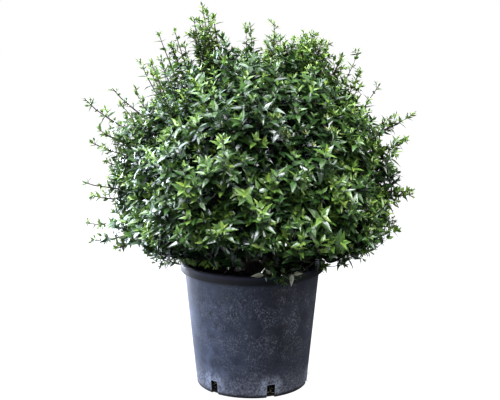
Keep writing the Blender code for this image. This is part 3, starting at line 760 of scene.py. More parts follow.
def bark_tube(bm, line, radii, deal):
    """A closed limb with upright ridges of bark along its line."""
    ridges = [(deal.randint(2, 5), deal.uniform(0, math.tau), deal.uniform(-60, 60)) for _ in range(3)]
    side = (line[1] - line[0]).orthogonal().normalized()
    rings, gone = [], 0.0
    for index, (place, radius) in enumerate(zip(line, radii)):
        along = (line[min(index + 1, len(line) - 1)] - line[max(index - 1, 0)]).normalized()
        side = (side - along * side.dot(along)).normalized()
        over = along.cross(side)
        gone += (place - line[index - 1]).length if index else 0.0
        knot = 1.0 + KNOT_BULGE * math.exp(-(((gone % KNOT_PITCH) - KNOT_PITCH / 2) / KNOT_LENGTH) ** 2)
        ring = []
        for step in range(BARK_SIDES):
            turn = math.tau * step / BARK_SIDES
            relief = sum(math.sin(n * turn + p + gone * twist) for n, p, twist in ridges) / 3.0
            reach = radius * knot * (1.0 + BARK_RELIEF * (relief + deal.uniform(-0.5, 0.5)))
            ring.append(bm.verts.new(place + (side * math.cos(turn) + over * math.sin(turn)) * reach))
        rings.append(ring)
    skinned(bm, rings)


def make_stems():
    bm = bmesh.new()
    deal = random.Random(21)
    foot = SOIL_TOP - 0.004
    profile = [(KNUCKLE_FLARE, foot), (KNUCKLE_FLARE * 0.9, foot + 0.008)]
    profile.append((KNUCKLE_RADIUS + 0.002, foot + 0.016))
    for step in range(1, KNUCKLE_STEPS):
        turn = math.pi / 2 * step / KNUCKLE_STEPS
        profile.append((KNUCKLE_RADIUS * math.cos(turn), FAN.z + KNUCKLE_RADIUS * math.sin(turn)))
    burls = [(deal.randint(3, 9), deal.uniform(0, math.tau), deal.uniform(-90, 90)) for _ in range(5)]
    rings = []
    for radius, height in profile:
        ring = []
        for i in range(KNUCKLE_SIDES):
            turn = math.tau * i / KNUCKLE_SIDES
            relief = sum(math.sin(n * turn + p + height * twist) for n, p, twist in burls) / 5.0
            reach = radius * (1.0 + KNUCKLE_BURLS * relief)
            ring.append(bm.verts.new((reach * math.cos(turn), reach * math.sin(turn), height)))
        rings.append(ring)
    skinned(bm, rings)
    for name in AXES:
        line = bough_line(name, BOUGH_STEPS)
        last = len(line) - 1
        gain = BOUGH_TIP_RADIUS - BOUGH_FOOT_RADIUS
        radii = [BOUGH_FOOT_RADIUS + gain * i / last for i in range(last + 1)]
        bark_tube(bm, line, radii, deal)
    mesh = mesh_from(bm, "stems")
    mesh.shade_smooth()
    return new_object("stems", mesh)


def flaking_bark():
    """Thin bark that peels in papery strips: grey-brown outside, warmer where it has come away, matt."""
    made, tree, shader = new_material("flaking_stem_bark", 0.85)
    where = add(tree, PLACE).outputs["Object"]
    upright = add(tree, "ShaderNodeMapping", {"Vector": where, "Scale": (1.0, 1.0, 0.16)})
    strips = add(tree, NOISE, [upright, PER_METRE / 3.0, 5.0, 0.65])
    stops = [(0.30, linear("#1F1814")), (0.50, linear("#453830")), (0.70, linear("#6E6156"))]
    relief = add(tree, BUMP, {"Strength": 0.8, "Distance": 0.0008, "Height": strips})
    feed(shader, {"Base Color": add(tree, RAMP, [strips], stops), "Normal": relief})
    return made


stems = make_stems()
stems.data.materials.append(flaking_bark())
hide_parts("stem_base", *[f"bough_{name}" for name in AXES])
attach(stems, "root")


# ---------------------------------------------------------------- growth of the shoots
# Each stem forks again and again inside its mass, and every fork ends in a leafy shoot of this
# and last year. Pairs of leaves sit crosswise on a shoot, and a star of young ones closes its tip.

SEED = 38
STEM_OVERLAP = 0.02  # a stem starts a little back in its bough
STEM_TIP = 0.66
STEM_TIP_RADIUS = 0.0030
FIRST_FORK = 0.35  # share of the way back down from the stem's tip
FORK_STEP = 0.45
FORK_WANDER = 0.05  # of a fork's length
TWIG_RADIUS = 0.0009
PIPE_POWER = 0.30  # a twig thickens with the number of shoots it carries to this power
OUTER_SHOOTS = 1120
OUTER_CROWDING = 0.74  # under 1 puts more of them near the top, which is further from the knuckle
OUTER_FOOT = (0.70, 0.83)  # shares of the way to the skin
OUTER_TIP = (0.91, 1.01)
OUTER_SAG = (0.02, 0.14)  # how much lower than its tip a shoot starts
OUTER_SWAY = 0.05
TIP_SWAY = 0.35
STRAY_SHARE = 0.14
STRAY_BY = (0.010, 0.034)
INNER_SHOOTS = 460
INNER_FOOT = (0.50, 0.66)
INNER_TIP = (0.68, 0.84)
INNER_SWAY = 0.16
SHOOT_LIFT = 0.42  # how much shoots turn up towards their tips
SHOOT_WANDER = 0.30
SHOOT_POINTS = 6
SHOOT_TAPER = (1.25, 0.6)  # shares of its radius at foot and tip
NODES_FROM_TIP = (0.002, 0.007, 0.016, 0.029, 0.044, 0.060, 0.076, 0.092, 0.108, 0.124, 0.140)
LEAF_LENGTHS = (0.014, 0.022, 0.030, 0.035, 0.037, 0.038, 0.038, 0.037, 0.036, 0.035, 0.033)
LEAF_TILTS_DEG = (26.0, 44.0, 56.0, 63.0, 68.0, 72.0, 76.0, 80.0, 84.0, 86.0, 88.0)
LEAF_SHAPES = (  # fold, droop, sideways bend
    (0.22, 0.10, 0.00),
    (0.38, 0.20, 0.05),
    (0.12, 0.28, -0.05),
    (0.30, -0.06, 0.03),
)
LEAF_TILT_SPREAD_DEG = 16.0
LEAF_SWAY = 0.16
LEAF_WEIGHT = 0.05  # how much leaves hang,
LEAF_WEIGHT_MORE = 0.02  # and how much more with each pair
LEAF_FACES_UP = 0.35
LEAF_TWIST = 0.3
LEAF_SIZES = (0.8, 1.15)
BARE_FROM = 5  # from this pair down, leaves are missing, at first this share of them
BARE_SHARE = 0.10
BARE_MORE = 0.07  # and this much more with each pair
KIND_CHANCES = (("fresh", 0.42), ("leafy", 0.78), ("dull", 1.1), ("old", 9.0))  # up to these draws
DULL_TINTS = ((5, 6), (4, 5), (3, 4), (2, 3), (2, 3), (1, 2), (0, 1), (0, 1), (0, 1), (0, 0), (0, 0))
SHOOT_TINTS = {  # to choose from for each pair from the tip down: young ones are the palest
    "fresh": ((8, 9), (8, 9), (7, 8), (5, 6), (4, 5), (3, 4), (2, 3), (1, 2), (0, 1), (0, 1), (0, 1)),
    "leafy": ((7, 8), (6, 7), (5, 6), (4, 5), (3, 4), (2, 3), (1, 2), (0, 1), (0, 1), (0, 0), (0, 0)),
    "dull": DULL_TINTS,
    "budding": DULL_TINTS,
    "old": ((4, 5, 6, 7),) * 11,
    "inner": ((0, 0, 0, 1),) * 11,
}
SIDE_SHOOT_SHARE = 0.55
SIDE_SHOOT_LENGTHS = (0.026, 0.046)
SIDE_SHOOT_LEAF = 0.82
OUTER_LEAF = (0.90, 1.20)
INNER_LEAF = 1.05
INNER_LEAFLESS = 0.15
LOW_PAINTED_SHADE = 0.42  # painted shade: how much more often the lowest shoots take the darker tints,
LOW_PAINTED_SHADE_BELOW = 0.35  # from this rise down
FOLIAGE_FLOOR = POT_HEIGHT + 0.003
SOIL_CLEAR = 0.012
RAGGED_EDGE = 0.009  # how far leaves hang past the skirt's edge, on average
POCKETS = 90  # hollows between the shoots, where the inside shows
POCKETS_FROM_DEG = 6.0
POCKET_SWAY = 0.08
POCKET_DEG = 4.5
POCKET_DEPTH = 0.15
HANG_GAP = 0.004
EDGE_SHOOTS = (  # tips of the long ones that stand out, and how many shorter ones stand by each
    (-0.134, -0.02, 1.052, 4), (-0.145, 0.03, 1.015, 4), (-0.130, -0.03, 0.985, 3),
    (-0.165, 0.01, 0.985, 2), (-0.211, 0.02, 0.984, 2), (-0.256, 0.03, 0.978, 2),
    (-0.300, -0.04, 0.905, 0), (-0.322, 0.02, 0.832, 0), (-0.378, -0.02, 0.829, 1),
    (-0.453, -0.03, 0.803, 0), (-0.430, 0.04, 0.715, 1), (-0.444, -0.02, 0.685, 0),
    (-0.412, 0.03, 0.625, 1), (-0.462, -0.03, 0.574, 0), (-0.450, 0.02, 0.529, 0),
    (-0.461, -0.01, 0.456, 0), (-0.455, 0.03, 0.399, 0), (-0.006, 0.02, 1.000, 1),
    (0.043, -0.02, 0.955, 3), (0.090, 0.02, 0.952, 3), (0.165, -0.02, 0.982, 4),
    (0.145, 0.04, 0.965, 3), (0.185, -0.04, 0.960, 3), (0.210, 0.02, 0.955, 1), (0.292, 0.03, 0.930, 2),
    (0.243, -0.03, 0.915, 1), (0.296, 0.02, 0.872, 1), (0.344, -0.02, 0.838, 0),
    (0.324, 0.03, 0.768, 1), (0.388, 0.02, 0.751, 0), (0.448, 0.02, 0.758, 0), (0.424, -0.02, 0.690, 0),
    (0.442, -0.03, 0.541, 1), (0.402, 0.01, 0.459, 1),
)
SMALL_SHOOTS = (  # the tips of weaker ones, most of them hanging
    (-0.384, -0.02, 0.385), (-0.294, -0.06, 0.382), (-0.252, -0.08, 0.380), (-0.200, -0.10, 0.392),
    (0.400, 0.03, 0.735), (0.363, 0.01, 0.406), (0.334, -0.05, 0.390), (0.194, -0.12, 0.364),
)
EDGE_PULL = 0.003  # the last leaf reaches on past the shoot's tip
ROUND_SHOOTS = 10  # on the front and the back by turns
ROUND_SHOOTS_ASIDE_DEG = 55.0
ROUND_SHOOTS_LOW_DEG = 12.0
ROUND_SHOOTS_RISE_DEG = 66.0
ROUND_SHOOT_REACH = 1.10
COMPANIONS_ASIDE = (0.012, 0.036)  # of the shorter shoots
COMPANIONS_SHORT = (0.30, 0.85)  # of how far the long one stands out
LONG_SHOOT_FOOT = 0.80  # share of the way to the skin
LONG_SHOOT_LEAF = 0.88
LONG_SHOOT_RADIUS = 0.0018
LONG_SHOOT_SPACING = 1.7
LONG_SHOOT_LEAFLESS = 0.08
LONG_SHOOT_SIDES = 0.6  # share of places that have a side shoot
LONG_SHOOT_LIFT = 0.30
LONG_SHOOT_WANDER = 0.15
SIDE_STRAYS_FROM = 0.37
SIDE_STRAY_RADIUS = 0.0023
TUFT_LENGTHS = (0.008, 0.018)
TUFT_LEAF = 0.62
BUD_SPRAYS = ((-58.0, 52.0), (-63.0, 50.0), (-53.0, 54.0), (-75.0, 53.0))  # azimuth and elevation
BUD_SPRAY_DEG = 3.4
BUD_LENGTH = 0.009
BUDS = 7  # in a spray
BUD, WITHERED = 10, 11  # tints
WITHERED_TWIG = (
    (0.17, -0.25, 0.41),
    (0.13, -0.236, 0.375),
    (0.105, -0.226, 0.364),
    (0.06, -0.212, 0.361),
    (0.03, -0.207, 0.3555),
)
WITHERED_LEAVES = (  # foot and tip
    ((0.030, -0.2065, 0.3555), (-0.004, -0.2075, 0.3545)),
    ((0.047, -0.209, 0.360), (0.031, -0.211, 0.374)),
    ((0.104, -0.227, 0.363), (0.099, -0.237, 0.334)),
    ((0.106, -0.227, 0.364), (0.131, -0.226, 0.367)),
)
WITHERED_HANG = 0.10
LONG_SHOOT_HANG = 0.12  # how far these may hang past the skirt's edge
HANGING_TIPS = (  # of the old, dull shoots that hang over the rim, from the crown's lower front
    (0.036, -0.212, 0.350), (0.062, -0.216, 0.341), (0.082, -0.220, 0.335), (0.103, -0.216, 0.347),
    (0.051, -0.212, 0.366), (0.124, -0.208, 0.354), (-0.148, -0.170, 0.380), (-0.100, -0.195, 0.384),
    (-0.060, -0.205, 0.380), (-0.035, -0.208, 0.378),
)
HANGING_LENGTH = 0.075
HANGING_BACK = 0.03
HANGING_SWAY = 0.015
HANGING_WANDER = 0.1
HANGING_LEAF = 0.85
DRAPED_TIPS = (  # of the fresh ones that come down to the rim on one side
    (-0.196, -0.03, 0.368), (-0.118, -0.172, 0.372), (-0.090, -0.186, 0.374), (-0.190, -0.07, 0.364),
    (-0.175, -0.105, 0.366), (-0.158, -0.130, 0.371), (-0.130, -0.160, 0.375), (-0.208, -0.05, 0.374),
    (-0.186, 0.01, 0.374),
)
GOLDEN_ANGLE = math.pi * (3.0 - math.sqrt(5.0))
UP = Vector((0.0, 0.0, 1.0))


def any_way(deal):
    return Vector([deal.gauss(0.0, 1.0) for _ in range(3)]).normalized()


def spread_ways(count, lowest_deg, crowding, deal):
    """Directions spread evenly over the crown."""
    lowest = math.sin(math.radians(lowest_deg))
    for index in range(count):
        height = lowest + (1.0 - lowest) * ((index + deal.uniform(0.2, 0.8)) / count) ** crowding
        azimuth = index * GOLDEN_ANGLE + deal.uniform(-0.05, 0.05)
        level = math.sqrt(max(0.0, 1.0 - height * height))
        yield Vector((level * math.cos(azimuth), level * math.sin(azimuth), height))


class Growth:
    """What one mass grows: its twigs as lines with radii, and its leaves."""

    def __init__(self):
        self.twigs = []  # points, radius at the foot, radius at the tip, young
        self.feet = []
        self.leaves = []  # place, rotation, length, shape, tint


def clear_of_pot(point, hang=0.0):
    """True over the skirt's edge, or as far under it as the leaf hangs, and clear of rim and compost."""
    level = math.hypot(point.x, point.y)
    if level > RIM_RADIUS + HANG_GAP:
        return point.z > skirt_edge(point) - hang
    if level > body_radius(POT_HEIGHT) - SOIL_CLEAR:
        return point.z > max(FOLIAGE_FLOOR, skirt_edge(point) - hang)
    return point.z > SOIL_TOP + SOIL_CLEAR


def add_leaf(growth, place, heading, face, length, shape, tint, hang):
    """A leaf from its foot along its heading, with its upper side to face."""
    tip = place + heading * length
    if not all(clear_of_pot(place.lerp(tip, share), hang) for share in (0.0, 0.5, 1.0)):
        return
    across = heading.cross(face)
    if across.length < 1e-4:
        return
    across.normalize()
    turn = Matrix((across, heading, across.cross(heading))).transposed().to_quaternion()
    growth.leaves.append((place, turn, length, shape, tint))


def square_to(along, turn):
    """A direction square to this one, turned about it."""
    return Matrix.Rotation(turn, 3, along) @ along.orthogonal().normalized()


def add_shoot(growth, line, kind, size, deal, leafless=0.0, spacing=1.0, radius=TWIG_RADIUS, below=0.0):
    """One shoot along its line, with crosswise pairs of leaves counted down from its tip."""
    thick, thin = SHOOT_TAPER
    growth.twigs.append((line, radius * thick, radius * thin, kind != "inner"))
    lengths = [(b - a).length for a, b in zip(line, line[1:])]
    total = sum(lengths)
    turn = deal.uniform(0.0, math.pi)
    for node, back in enumerate(NODES_FROM_TIP):
        back *= spacing
        if back > total * 0.96:
            break
        ahead, index = total - back, 0
        while index < len(lengths) - 1 and ahead > lengths[index]:
            ahead -= lengths[index]
            index += 1
        along = (line[index + 1] - line[index]).normalized()
        place = line[index] + along * ahead
        side = square_to(along, turn + node * math.pi / 2 + deal.uniform(-0.3, 0.3))
        missing = leafless + (BARE_SHARE + BARE_MORE * (node - BARE_FROM) if node >= BARE_FROM else 0.0)
        for half in (side, -side):
            if deal.random() < missing:
                continue
            spread = deal.uniform(-LEAF_TILT_SPREAD_DEG, LEAF_TILT_SPREAD_DEG)
            tilt = math.radians(LEAF_TILTS_DEG[node] + spread)
            heading = along * math.cos(tilt) + half * math.sin(tilt)
            weight = LEAF_WEIGHT + LEAF_WEIGHT_MORE * node
            heading = (heading + any_way(deal) * LEAF_SWAY - UP * weight).normalized()
            face = along + UP * LEAF_FACES_UP + any_way(deal) * LEAF_TWIST
            length = LEAF_LENGTHS[node] * size * deal.uniform(*LEAF_SIZES)
            hang = deal.expovariate(1.0 / RAGGED_EDGE) + below
            shape, tint = deal.randrange(len(LEAF_SHAPES)), deal.choice(SHOOT_TINTS[kind][node])
            add_leaf(growth, place, heading, face, length, shape, tint, hang)
    if kind == "budding":
        along_tip = (line[-1] - line[-2]).normalized()
        for _ in range(BUDS):
            heading = (along_tip + any_way(deal) * 0.9).normalized()
            place = line[-1] + heading * BUD_LENGTH * deal.uniform(0.0, 0.8)
            add_leaf(growth, place, heading, any_way(deal), BUD_LENGTH, 2, BUD, 0.0)


def curved(foot, lead, tip, bend, deal, wander=SHOOT_WANDER):
    """A shoot's line from its foot, off along lead and arriving along bend."""
    reach = (tip - foot).length / 3.0
    handles = foot, foot + lead * reach, tip - bend * reach + any_way(deal) * reach * wander, tip
    return [bezier(*handles, i / (SHOOT_POINTS - 1)) for i in range(SHOOT_POINTS)]


def add_side_shoots(growth, line, kind, size, deal, share, below=0.0):
    """Short shoots that leave a shoot part of the way up."""
    for index in (1, 2, 3):
        if deal.random() > share:
            continue
        along = (line[index + 1] - line[index]).normalized()
        side = square_to(along, deal.uniform(0.0, math.tau))
        heading = (along * 0.75 + side * 0.8 + UP * 0.15).normalized()
        foot = line[index]
        tip = foot + heading * deal.uniform(*SIDE_SHOOT_LENGTHS)
        if clear_of_pot(tip, below):
            middle = foot.lerp(tip, 0.55) + UP * 0.002
            add_shoot(growth, [foot, middle, tip], kind, size * SIDE_SHOOT_LEAF, deal, below=below)


def add_tufts(growth, line, deal):
    """Small new shoots in the axils along a long shoot."""
    for start, end in zip(line[1:], line[2:]):
        along = (end - start).normalized()
        side = square_to(along, deal.uniform(0.0, math.tau))
        for half in (side, -side):
            foot = start.lerp(end, deal.uniform(0.2, 0.8))
            heading = (along * 0.8 + half + UP * 0.2).normalized()
            tip = foot + heading * deal.uniform(*TUFT_LENGTHS)
            if clear_of_pot(tip, LONG_SHOOT_HANG):
                middle = foot.lerp(tip, 0.5)
                add_shoot(growth, [foot, middle, tip], "fresh", TUFT_LEAF, deal, below=LONG_SHOOT_HANG)


def grow_outer(growths):
    deal = random.Random(SEED)
    pockets = list(spread_ways(POCKETS, POCKETS_FROM_DEG, 1.0, deal))
    pockets = [(way + any_way(deal) * POCKET_SWAY).normalized() for way in pockets]
    bud_axes = [direction(*way) for way in BUD_SPRAYS]
    for along in spread_ways(OUTER_SHOOTS, 0.0, OUTER_CROWDING, deal):
        name = nearest_mass(along)
        hollow = max(math.exp(-((math.degrees(along.angle(way)) / POCKET_DEG) ** 2)) for way in pockets)
        reach = skin(name, along) * (1.0 - POCKET_DEPTH * hollow)
        tip = FAN + along * reach * deal.uniform(*OUTER_TIP)
        if deal.random() < STRAY_SHARE:
            tip += along * deal.uniform(*STRAY_BY)
        sag = UP * deal.uniform(*OUTER_SAG) * (1.0 - along.z)
        low = (along - sag + any_way(deal) * OUTER_SWAY).normalized()
        foot = FAN + low * reach * deal.uniform(*OUTER_FOOT)
        lift = UP * SHOOT_LIFT * (0.25 + along.z)
        bend = (along * 0.8 + lift + any_way(deal) * TIP_SWAY).normalized()
        if not (clear_of_pot(foot) and clear_of_pot(tip)):
            continue
        line = curved(foot, low, tip, bend, deal)
        # The lowest shoots more often take the darker, duller tints, as painted shade under the crown.
        chance = deal.random() + LOW_PAINTED_SHADE * max(0.0, 1.0 - along.z / LOW_PAINTED_SHADE_BELOW)
        kind = next(kind for kind, most in KIND_CHANCES if chance < most)
        if any(along.angle(axis) < math.radians(BUD_SPRAY_DEG) for axis in bud_axes):
            kind = "budding"
        size = deal.uniform(*OUTER_LEAF)
        growths[name].feet.append(foot)
        add_shoot(growths[name], line, kind, size, deal)
        add_side_shoots(growths[name], line, kind, size, deal, SIDE_SHOOT_SHARE)


def grow_inner(growths):
    deal = random.Random(SEED + 1)
    for along in spread_ways(INNER_SHOOTS, 1.0, OUTER_CROWDING, deal):
        name = nearest_mass(along)
        reach = skin(name, along)
        foot = FAN + along * reach * deal.uniform(*INNER_FOOT)
        way = (along + any_way(deal) * INNER_SWAY).normalized()
        tip = FAN + way * reach * deal.uniform(*INNER_TIP)
        if clear_of_pot(foot) and clear_of_pot(tip):
            growths[name].feet.append(foot)
            line = curved(foot, along, tip, way, deal)
            add_shoot(growths[name], line, "inner", INNER_LEAF, deal, INNER_LEAFLESS)


def grow_long(growths):
    """The long shoots that stand out of the crown, open and with short shoots of their own."""
    deal = random.Random(SEED + 2)
    tips = [Vector(place) for place in SMALL_SHOOTS]
    for *place, companions in EDGE_SHOOTS:
        tip = Vector(place)
        tips.append(tip)
        along = (tip - FAN).normalized()
        out = (tip - FAN).length - even_skin(along)
        for _ in range(companions):
            aside = any_way(deal) * deal.uniform(*COMPANIONS_ASIDE)
            tips.append(tip - along * out * deal.uniform(*COMPANIONS_SHORT) + aside)
    for index in range(1, ROUND_SHOOTS + 1):
        azimuth = (90.0 if index % 2 else -90.0) + ROUND_SHOOTS_ASIDE_DEG * math.sin(index * 2.4)
        along = direction(azimuth, ROUND_SHOOTS_LOW_DEG + ROUND_SHOOTS_RISE_DEG * ((index * 0.37) % 1.0))
        tips.append(FAN + along * even_skin(along) * ROUND_SHOOT_REACH)
    for tip in tips:
        along = (tip - FAN).normalized()
        name = nearest_mass(along)
        tip = tip - along * EDGE_PULL
        low = (along - UP * 0.12 * (1.0 - along.z)).normalized()
        lift, radius = LONG_SHOOT_LIFT, LONG_SHOOT_RADIUS
        if abs(tip.x) > SIDE_STRAYS_FROM:  # these leave the crown further up, and lie flatter
            low, lift, radius = (along + UP * 0.10).normalized(), 0.0, SIDE_STRAY_RADIUS
        foot = FAN + low * skin(name, low) * LONG_SHOOT_FOOT
        bend = (along + UP * lift + any_way(deal) * 0.2).normalized()
        line = curved(foot, low, tip, bend, deal, LONG_SHOOT_WANDER)
        growths[name].feet.append(foot)
        looks = (LONG_SHOOT_LEAFLESS, LONG_SHOOT_SPACING, radius, LONG_SHOOT_HANG)
        add_shoot(growths[name], line, "fresh", LONG_SHOOT_LEAF, deal, *looks)
        sides = (LONG_SHOOT_SIDES, LONG_SHOOT_HANG)
        add_side_shoots(growths[name], line, "fresh", LONG_SHOOT_LEAF, deal, *sides)
        add_tufts(growths[name], line, deal)


def grow_hanging(growths):
    """Old shoots that droop over the rim, and fresh ones beside them."""
    deal = random.Random(SEED + 4)
    for place in HANGING_TIPS + DRAPED_TIPS:
        tip = Vector(place)
        out = Vector((tip.x, tip.y, 0.0)).normalized()
        foot = tip - out * HANGING_BACK + UP * HANGING_LENGTH + any_way(deal) * HANGING_SWAY
        along = (foot - FAN).normalized()
        name = nearest_mass(along)
        line = curved(foot, (out + UP * 0.2).normalized(), tip, -UP, deal, HANGING_WANDER)
        growths[name].feet.append(foot)
        kind = "fresh" if place in DRAPED_TIPS else "old"
        add_shoot(growths[name], line, kind, HANGING_LEAF, deal, below=LONG_SHOOT_HANG)


def grow_withered(growth):
    """A dead twig that hangs over the rim, with its last curled leaves."""
    deal = random.Random(SEED + 3)
    line = [Vector(place) for place in WITHERED_TWIG]
    growth.twigs.append((line, TWIG_RADIUS, TWIG_RADIUS * 0.7, False))
    growth.feet.append(line[0])
    for foot, tip in WITHERED_LEAVES:
        foot, tip = Vector(foot), Vector(tip)
        heading = (tip - foot).normalized()
        face = Vector((-0.3, -1.0, 0.5)) + any_way(deal) * 0.3
        add_leaf(growth, foot, heading, face, (tip - foot).length, 1, WITHERED, WITHERED_HANG)


def fork(growth, start, tips, deal):
    """A stem forks towards the two halves of its tips, and each part again, until each tip has a twig."""
    if not tips:
        return
    if len(tips) == 1:
        add_twig(growth, start, tips[0], 1, deal)
        return
    spread = [max(tip[axis] for tip in tips) - min(tip[axis] for tip in tips) for axis in range(3)]
    widest = spread.index(max(spread))
    ordered = sorted(tips, key=lambda tip: tip[widest])
    half = len(ordered) // 2
    for part in (ordered[:half], ordered[half:]):
        knee = part[0]
        if len(part) > 1:
            middle = sum(part, Vector()) / len(part)
            knee = start.lerp(middle, FORK_STEP / math.log2(2 + len(part)))
        add_twig(growth, start, knee, len(part), deal)
        if len(part) > 1:
            fork(growth, knee, part, deal)


def add_twig(growth, start, end, carried, deal):
    radius = TWIG_RADIUS * carried**PIPE_POWER
    middle = start.lerp(end, 0.5) + any_way(deal) * (end - start).length * FORK_WANDER
    growth.twigs.append(([start, middle, end], radius * 1.1, radius, False))


growths = {name: Growth() for name in AXES}
grow_outer(growths)
grow_inner(growths)
grow_long(growths)
grow_hanging(growths)
grow_withered(growths["lower_4"])
for name, growth in growths.items():
    axis = AXES[name]
    stem_foot = FAN + axis * skin(name, axis) * (BOUGH_REACH - STEM_OVERLAP)
    stem_tip = FAN + axis * skin(name, axis) * STEM_TIP
    stem = [stem_foot, stem_foot.lerp(stem_tip, 0.5), stem_tip]
    growth.twigs.append((stem, BOUGH_TIP_RADIUS, STEM_TIP_RADIUS, False))
    fork(growth, stem_tip.lerp(stem_foot, FIRST_FORK), growth.feet, random.Random(f"{SEED} fork {name}"))


# ---------------------------------------------------------------- twigs
# Wiry twigs: last year's have thin grey-brown bark, and this year's shoots are smooth,
# downy and reddish brown.

TWIG_SIDES = 3

old_bark = plain_finish("last_years_twig_bark", "#3B2C22", 0.8)
young_skin = plain_finish("young_shoot_skin", "#402C22", 0.6)
twig_grower = stick_tree(old_bark, young_skin)
for name, growth in growths.items():
    lines = stick_lines(f"twigs_{name}", growth.twigs)
    twigs = grown(f"twigs_{name}", lines, twig_grower, Sides=TWIG_SIDES)
    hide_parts(f"foliage_{name}")
    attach(twigs, "root")


# ---------------------------------------------------------------- leaves
# Small evergreen leaves, egg shaped with a drawn-out point, folded a little along the midrib and
# glossy above. They open yellow-green, turn mid green and darken as the leathery skin thickens.

LEAF_WIDTH = 0.44  # of a length of 1
LEAF_EDGE_BACK = 0.02
LEAF_OUTLINE = (  # along the midrib, and share of the half width
    (0.15, 0.68),
    (0.38, 1.00),
    (0.70, 0.54),
)
LEAF_ATTRIBUTES = {"turn": "QUATERNION", "length": "FLOAT", "shape": "INT", "tint": "FLOAT"}
LEAF_GLOSS = 0.95  # a waxy skin, glossier than most plastics
LEAF_TINTS = (  # name, colour, roughness
    ("oldest_leaf", "#142813", 0.25),
    ("old_leaf", "#1A3217", 0.25),
    ("dark_leaf", "#213C1B", 0.26),
    ("deep_leaf", "#28421E", 0.27),
    ("mid_leaf", "#325123", 0.29),
    ("full_leaf", "#3D5F28", 0.31),
    ("light_leaf", "#4A6E2A", 0.33),
    ("fresh_leaf", "#5C8030", 0.35),
    ("young_leaf", "#6E9137", 0.36),
    ("youngest_leaf", "#85A240", 0.38),
    ("flower_bud", "#C4C878", 0.45),
    ("withered_leaf", "#B7B69A", 0.6),
)


def leaf_shape(index, fold, droop, bend):
    """A leaf of length 1 along +Y with its upper side to +Z: three cross sections between foot and tip."""
    places = [(0.0, 0.0, 0.0)]
    for along, width in LEAF_OUTLINE:
        half = LEAF_WIDTH / 2 * width
        middle = Vector((bend * along * along, along, -droop * along * along))
        left, right = (Vector((side, -LEAF_EDGE_BACK, half * fold)) for side in (-half, half))
        places += [middle + left, middle, middle + right]
    places.append((bend, 1.0, -droop))
    faces = [(0, 2, 1), (0, 3, 2)]
    for first in (1, 4):
        for here in (first, first + 1):
            faces += [(here, here + 1, here + 4), (here, here + 4, here + 3)]
    faces += [(7, 8, 10), (8, 9, 10)]
    mesh = bpy.data.meshes.new(f"leaf_{index}")
    mesh.from_pydata(places, [], faces)
    mesh.shade_smooth()
    crease = mesh.attributes.new("sharp_edge", "BOOLEAN", "EDGE")
    rib = {0, 2, 5, 8, 10}
    crease.data.foreach_set("value", [set(edge.vertices) <= rib for edge in mesh.edges])
    return bpy.data.objects.new(f"leaf_{index}", mesh)


def leaf_points(name, leaves):
    """One point for each leaf, with how it is turned, its length, its shape and its tint."""
    mesh = bpy.data.meshes.new(name)
    mesh.from_pydata([leaf[0] for leaf in leaves], [], [])
    for index, (attribute, kind) in enumerate(LEAF_ATTRIBUTES.items(), start=1):
        values = np.array([leaf[index] for leaf in leaves], np.int32 if kind == "INT" else np.float32)
        mesh.attributes.new(attribute, kind, "POINT").data.foreach_set("value", values.reshape(-1))
    return mesh


def leaf_tree(finishes):
    """Geometry nodes that set a leaf on each point and give each tint its finish."""
    kinds = {"Points": "Geometry", "Shapes": "Collection", "Size": "Float"}
    tree, given = new_tree("leaves_on_points", kinds, "Leaves")
    turn, length, shape, tint = (
        add(tree, ATTRIBUTE, [name], data_type=kind) for name, kind in LEAF_ATTRIBUTES.items()
    )
    shapes = {"Collection": given["Shapes"], "Separate Children": True}
    placed = {
        "Points": given["Points"],
        "Instance": add(tree, "GeometryNodeCollectionInfo", shapes),
        "Pick Instance": True,
        "Instance Index": shape,
        "Rotation": turn,
        "Scale": add(tree, MATH, [length, given["Size"]], operation="MULTIPLY"),
    }
    last = add(tree, REALIZE, [add(tree, INSTANCE, placed)])
    for index, finish in enumerate(finishes):
        near = {"A": tint, "B": float(index), "Epsilon": 0.25}
        mine = add(tree, COMPARE, near, operation="EQUAL")
        last = add(tree, FINISH, {"Geometry": last, "Selection": mine, "Material": finish})
    add(tree, "NodeGroupOutput", [last])
    return tree


leaf_shapes = bpy.data.collections.new("leaf_shapes")
for index, shape in enumerate(LEAF_SHAPES):
    leaf_shapes.objects.link(leaf_shape(index, *shape))
leaf_grower = leaf_tree([plain_finish(*tint, LEAF_GLOSS) for tint in LEAF_TINTS])
for name, growth in growths.items():
    points = leaf_points(f"leaves_{name}", growth.leaves)
    leaves = grown(f"leaves_{name}", points, leaf_grower, Shapes=leaf_shapes, Size=1.0)
    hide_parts(f"foliage_{name}")
    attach(leaves, "root")
for shape in list(leaf_shapes.objects):
    bpy.data.objects.remove(shape)


# ---------------------------------------------------------------- studio
# A pale, matt floor under a pale sky. A large soft key light and a low rim light stand behind on the left,
# weaker ones hang in front and overhead, a strip bounces light up from the lower left, and a faint one fills
# the right.

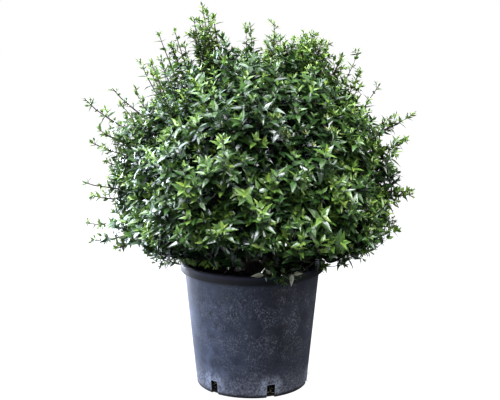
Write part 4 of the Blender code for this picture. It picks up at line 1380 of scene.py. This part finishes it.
CAMERA_PLACE = (-0.0056, -2.7, 0.982)
CAMERA_PITCH_DEG = 9.75
CAMERA_LENS = 71.3
FLOOR_RADIUS = 40.0
FLOOR_GLOW = 1.0  # evens the floor out to the backdrop
BACKDROP = 1.0
SKY_LIGHT = 0.57
SKY_SIDES = (-0.8, 0.15, 0.35)  # how much the sky brightens along x, y and z,
SKY_MIDDLE = 0.5  # from this level,
SKY_LEAST = 0.22  # and never under this
LIGHTS = (  # name, place, target, size, watts, colour
    ("key_light", (-2.65, 1.3, 1.9), (0.0, 0.0, 0.6), (2.8, 2.6), 278.0, "#DDE9FF"),
    ("rim_light", (-2.1, 2.2, 0.6), (0.0, 0.0, 0.3), (1.4, 1.4), 310.0, "#EAF0FF"),
    ("front_light", (-0.4, -1.4, 3.5), (0.0, 0.0, 0.6), (2.2, 1.4), 205.0, "#F4F7FF"),
    ("top_light", (-0.3, 0.2, 3.0), (0.0, 0.0, 0.7), (1.6, 1.6), 60.0, "#EEF4FF"),
    ("bounce_light", (-1.6, -1.2, 0.12), (-0.08, -0.1, 0.42), (1.6, 0.5), 9.0, "#F4F7FF"),
    ("fill_light", (2.4, -0.9, 1.6), (0.0, 0.0, 0.5), (1.0, 1.4), 34.0, "#FFFFFF"),
)

camera = new_object("camera", bpy.data.cameras.new("camera"))
camera.location = CAMERA_PLACE
camera.rotation_euler = (math.radians(90.0 - CAMERA_PITCH_DEG), 0.0, 0.0)
camera.data.lens = CAMERA_LENS
bpy.context.scene.camera = camera

bm = bmesh.new()
bmesh.ops.create_circle(bm, cap_ends=True, segments=64, radius=FLOOR_RADIUS)
floor = new_object("studio_floor", mesh_from(bm, "studio_floor"))
paint, _, shader = new_material("matt_white_floor", 0.9)
glow = {"Emission Color": linear("#FFFFFF"), "Emission Strength": FLOOR_GLOW}
feed(shader, {"Base Color": linear("#3C3C3C"), **glow})
floor.data.materials.append(paint)
floor.visible_diffuse = floor.visible_glossy = False


for name, place, target, size, power, colour in LIGHTS:
    light = bpy.data.lights.new(name, "AREA")
    light.shape = "RECTANGLE"
    light.size, light.size_y = size
    light.energy = power
    light.color = linear(colour)[:3]
    made = new_object(name, light)
    made.location = place
    made.rotation_mode = "QUATERNION"
    made.rotation_quaternion = (Vector(target) - Vector(place)).to_track_quat("-Z", "Y")
world = bpy.data.worlds.new("studio")
world.use_nodes = True
air = world.node_tree
sides = add(air, "ShaderNodeSeparateXYZ", [add(air, PLACE).outputs["Generated"]]).outputs
x, y, z = (add(air, MATH, [sides[i], SKY_SIDES[i]], operation="MULTIPLY") for i in range(3))
glow = add(air, MATH, [x, z], operation="ADD")
for operation, value in (("ADD", y), ("ADD", SKY_MIDDLE), ("MAXIMUM", SKY_LEAST), ("MULTIPLY", SKY_LIGHT)):
    glow = add(air, MATH, [glow, value], operation=operation)
around = air.nodes["Background"]
feed(around, {"Color": linear("#E6EEFF"), "Strength": glow})
behind = add(air, "ShaderNodeBackground", {"Color": linear("#FFFFFF"), "Strength": BACKDROP})
seen = add(air, "ShaderNodeLightPath").outputs["Is Camera Ray"]
feed(air.nodes["World Output"], {"Surface": add(air, "ShaderNodeMixShader", [seen, around, behind])})
bpy.context.scene.world = world
bpy.context.scene.view_settings.view_transform = "Standard"
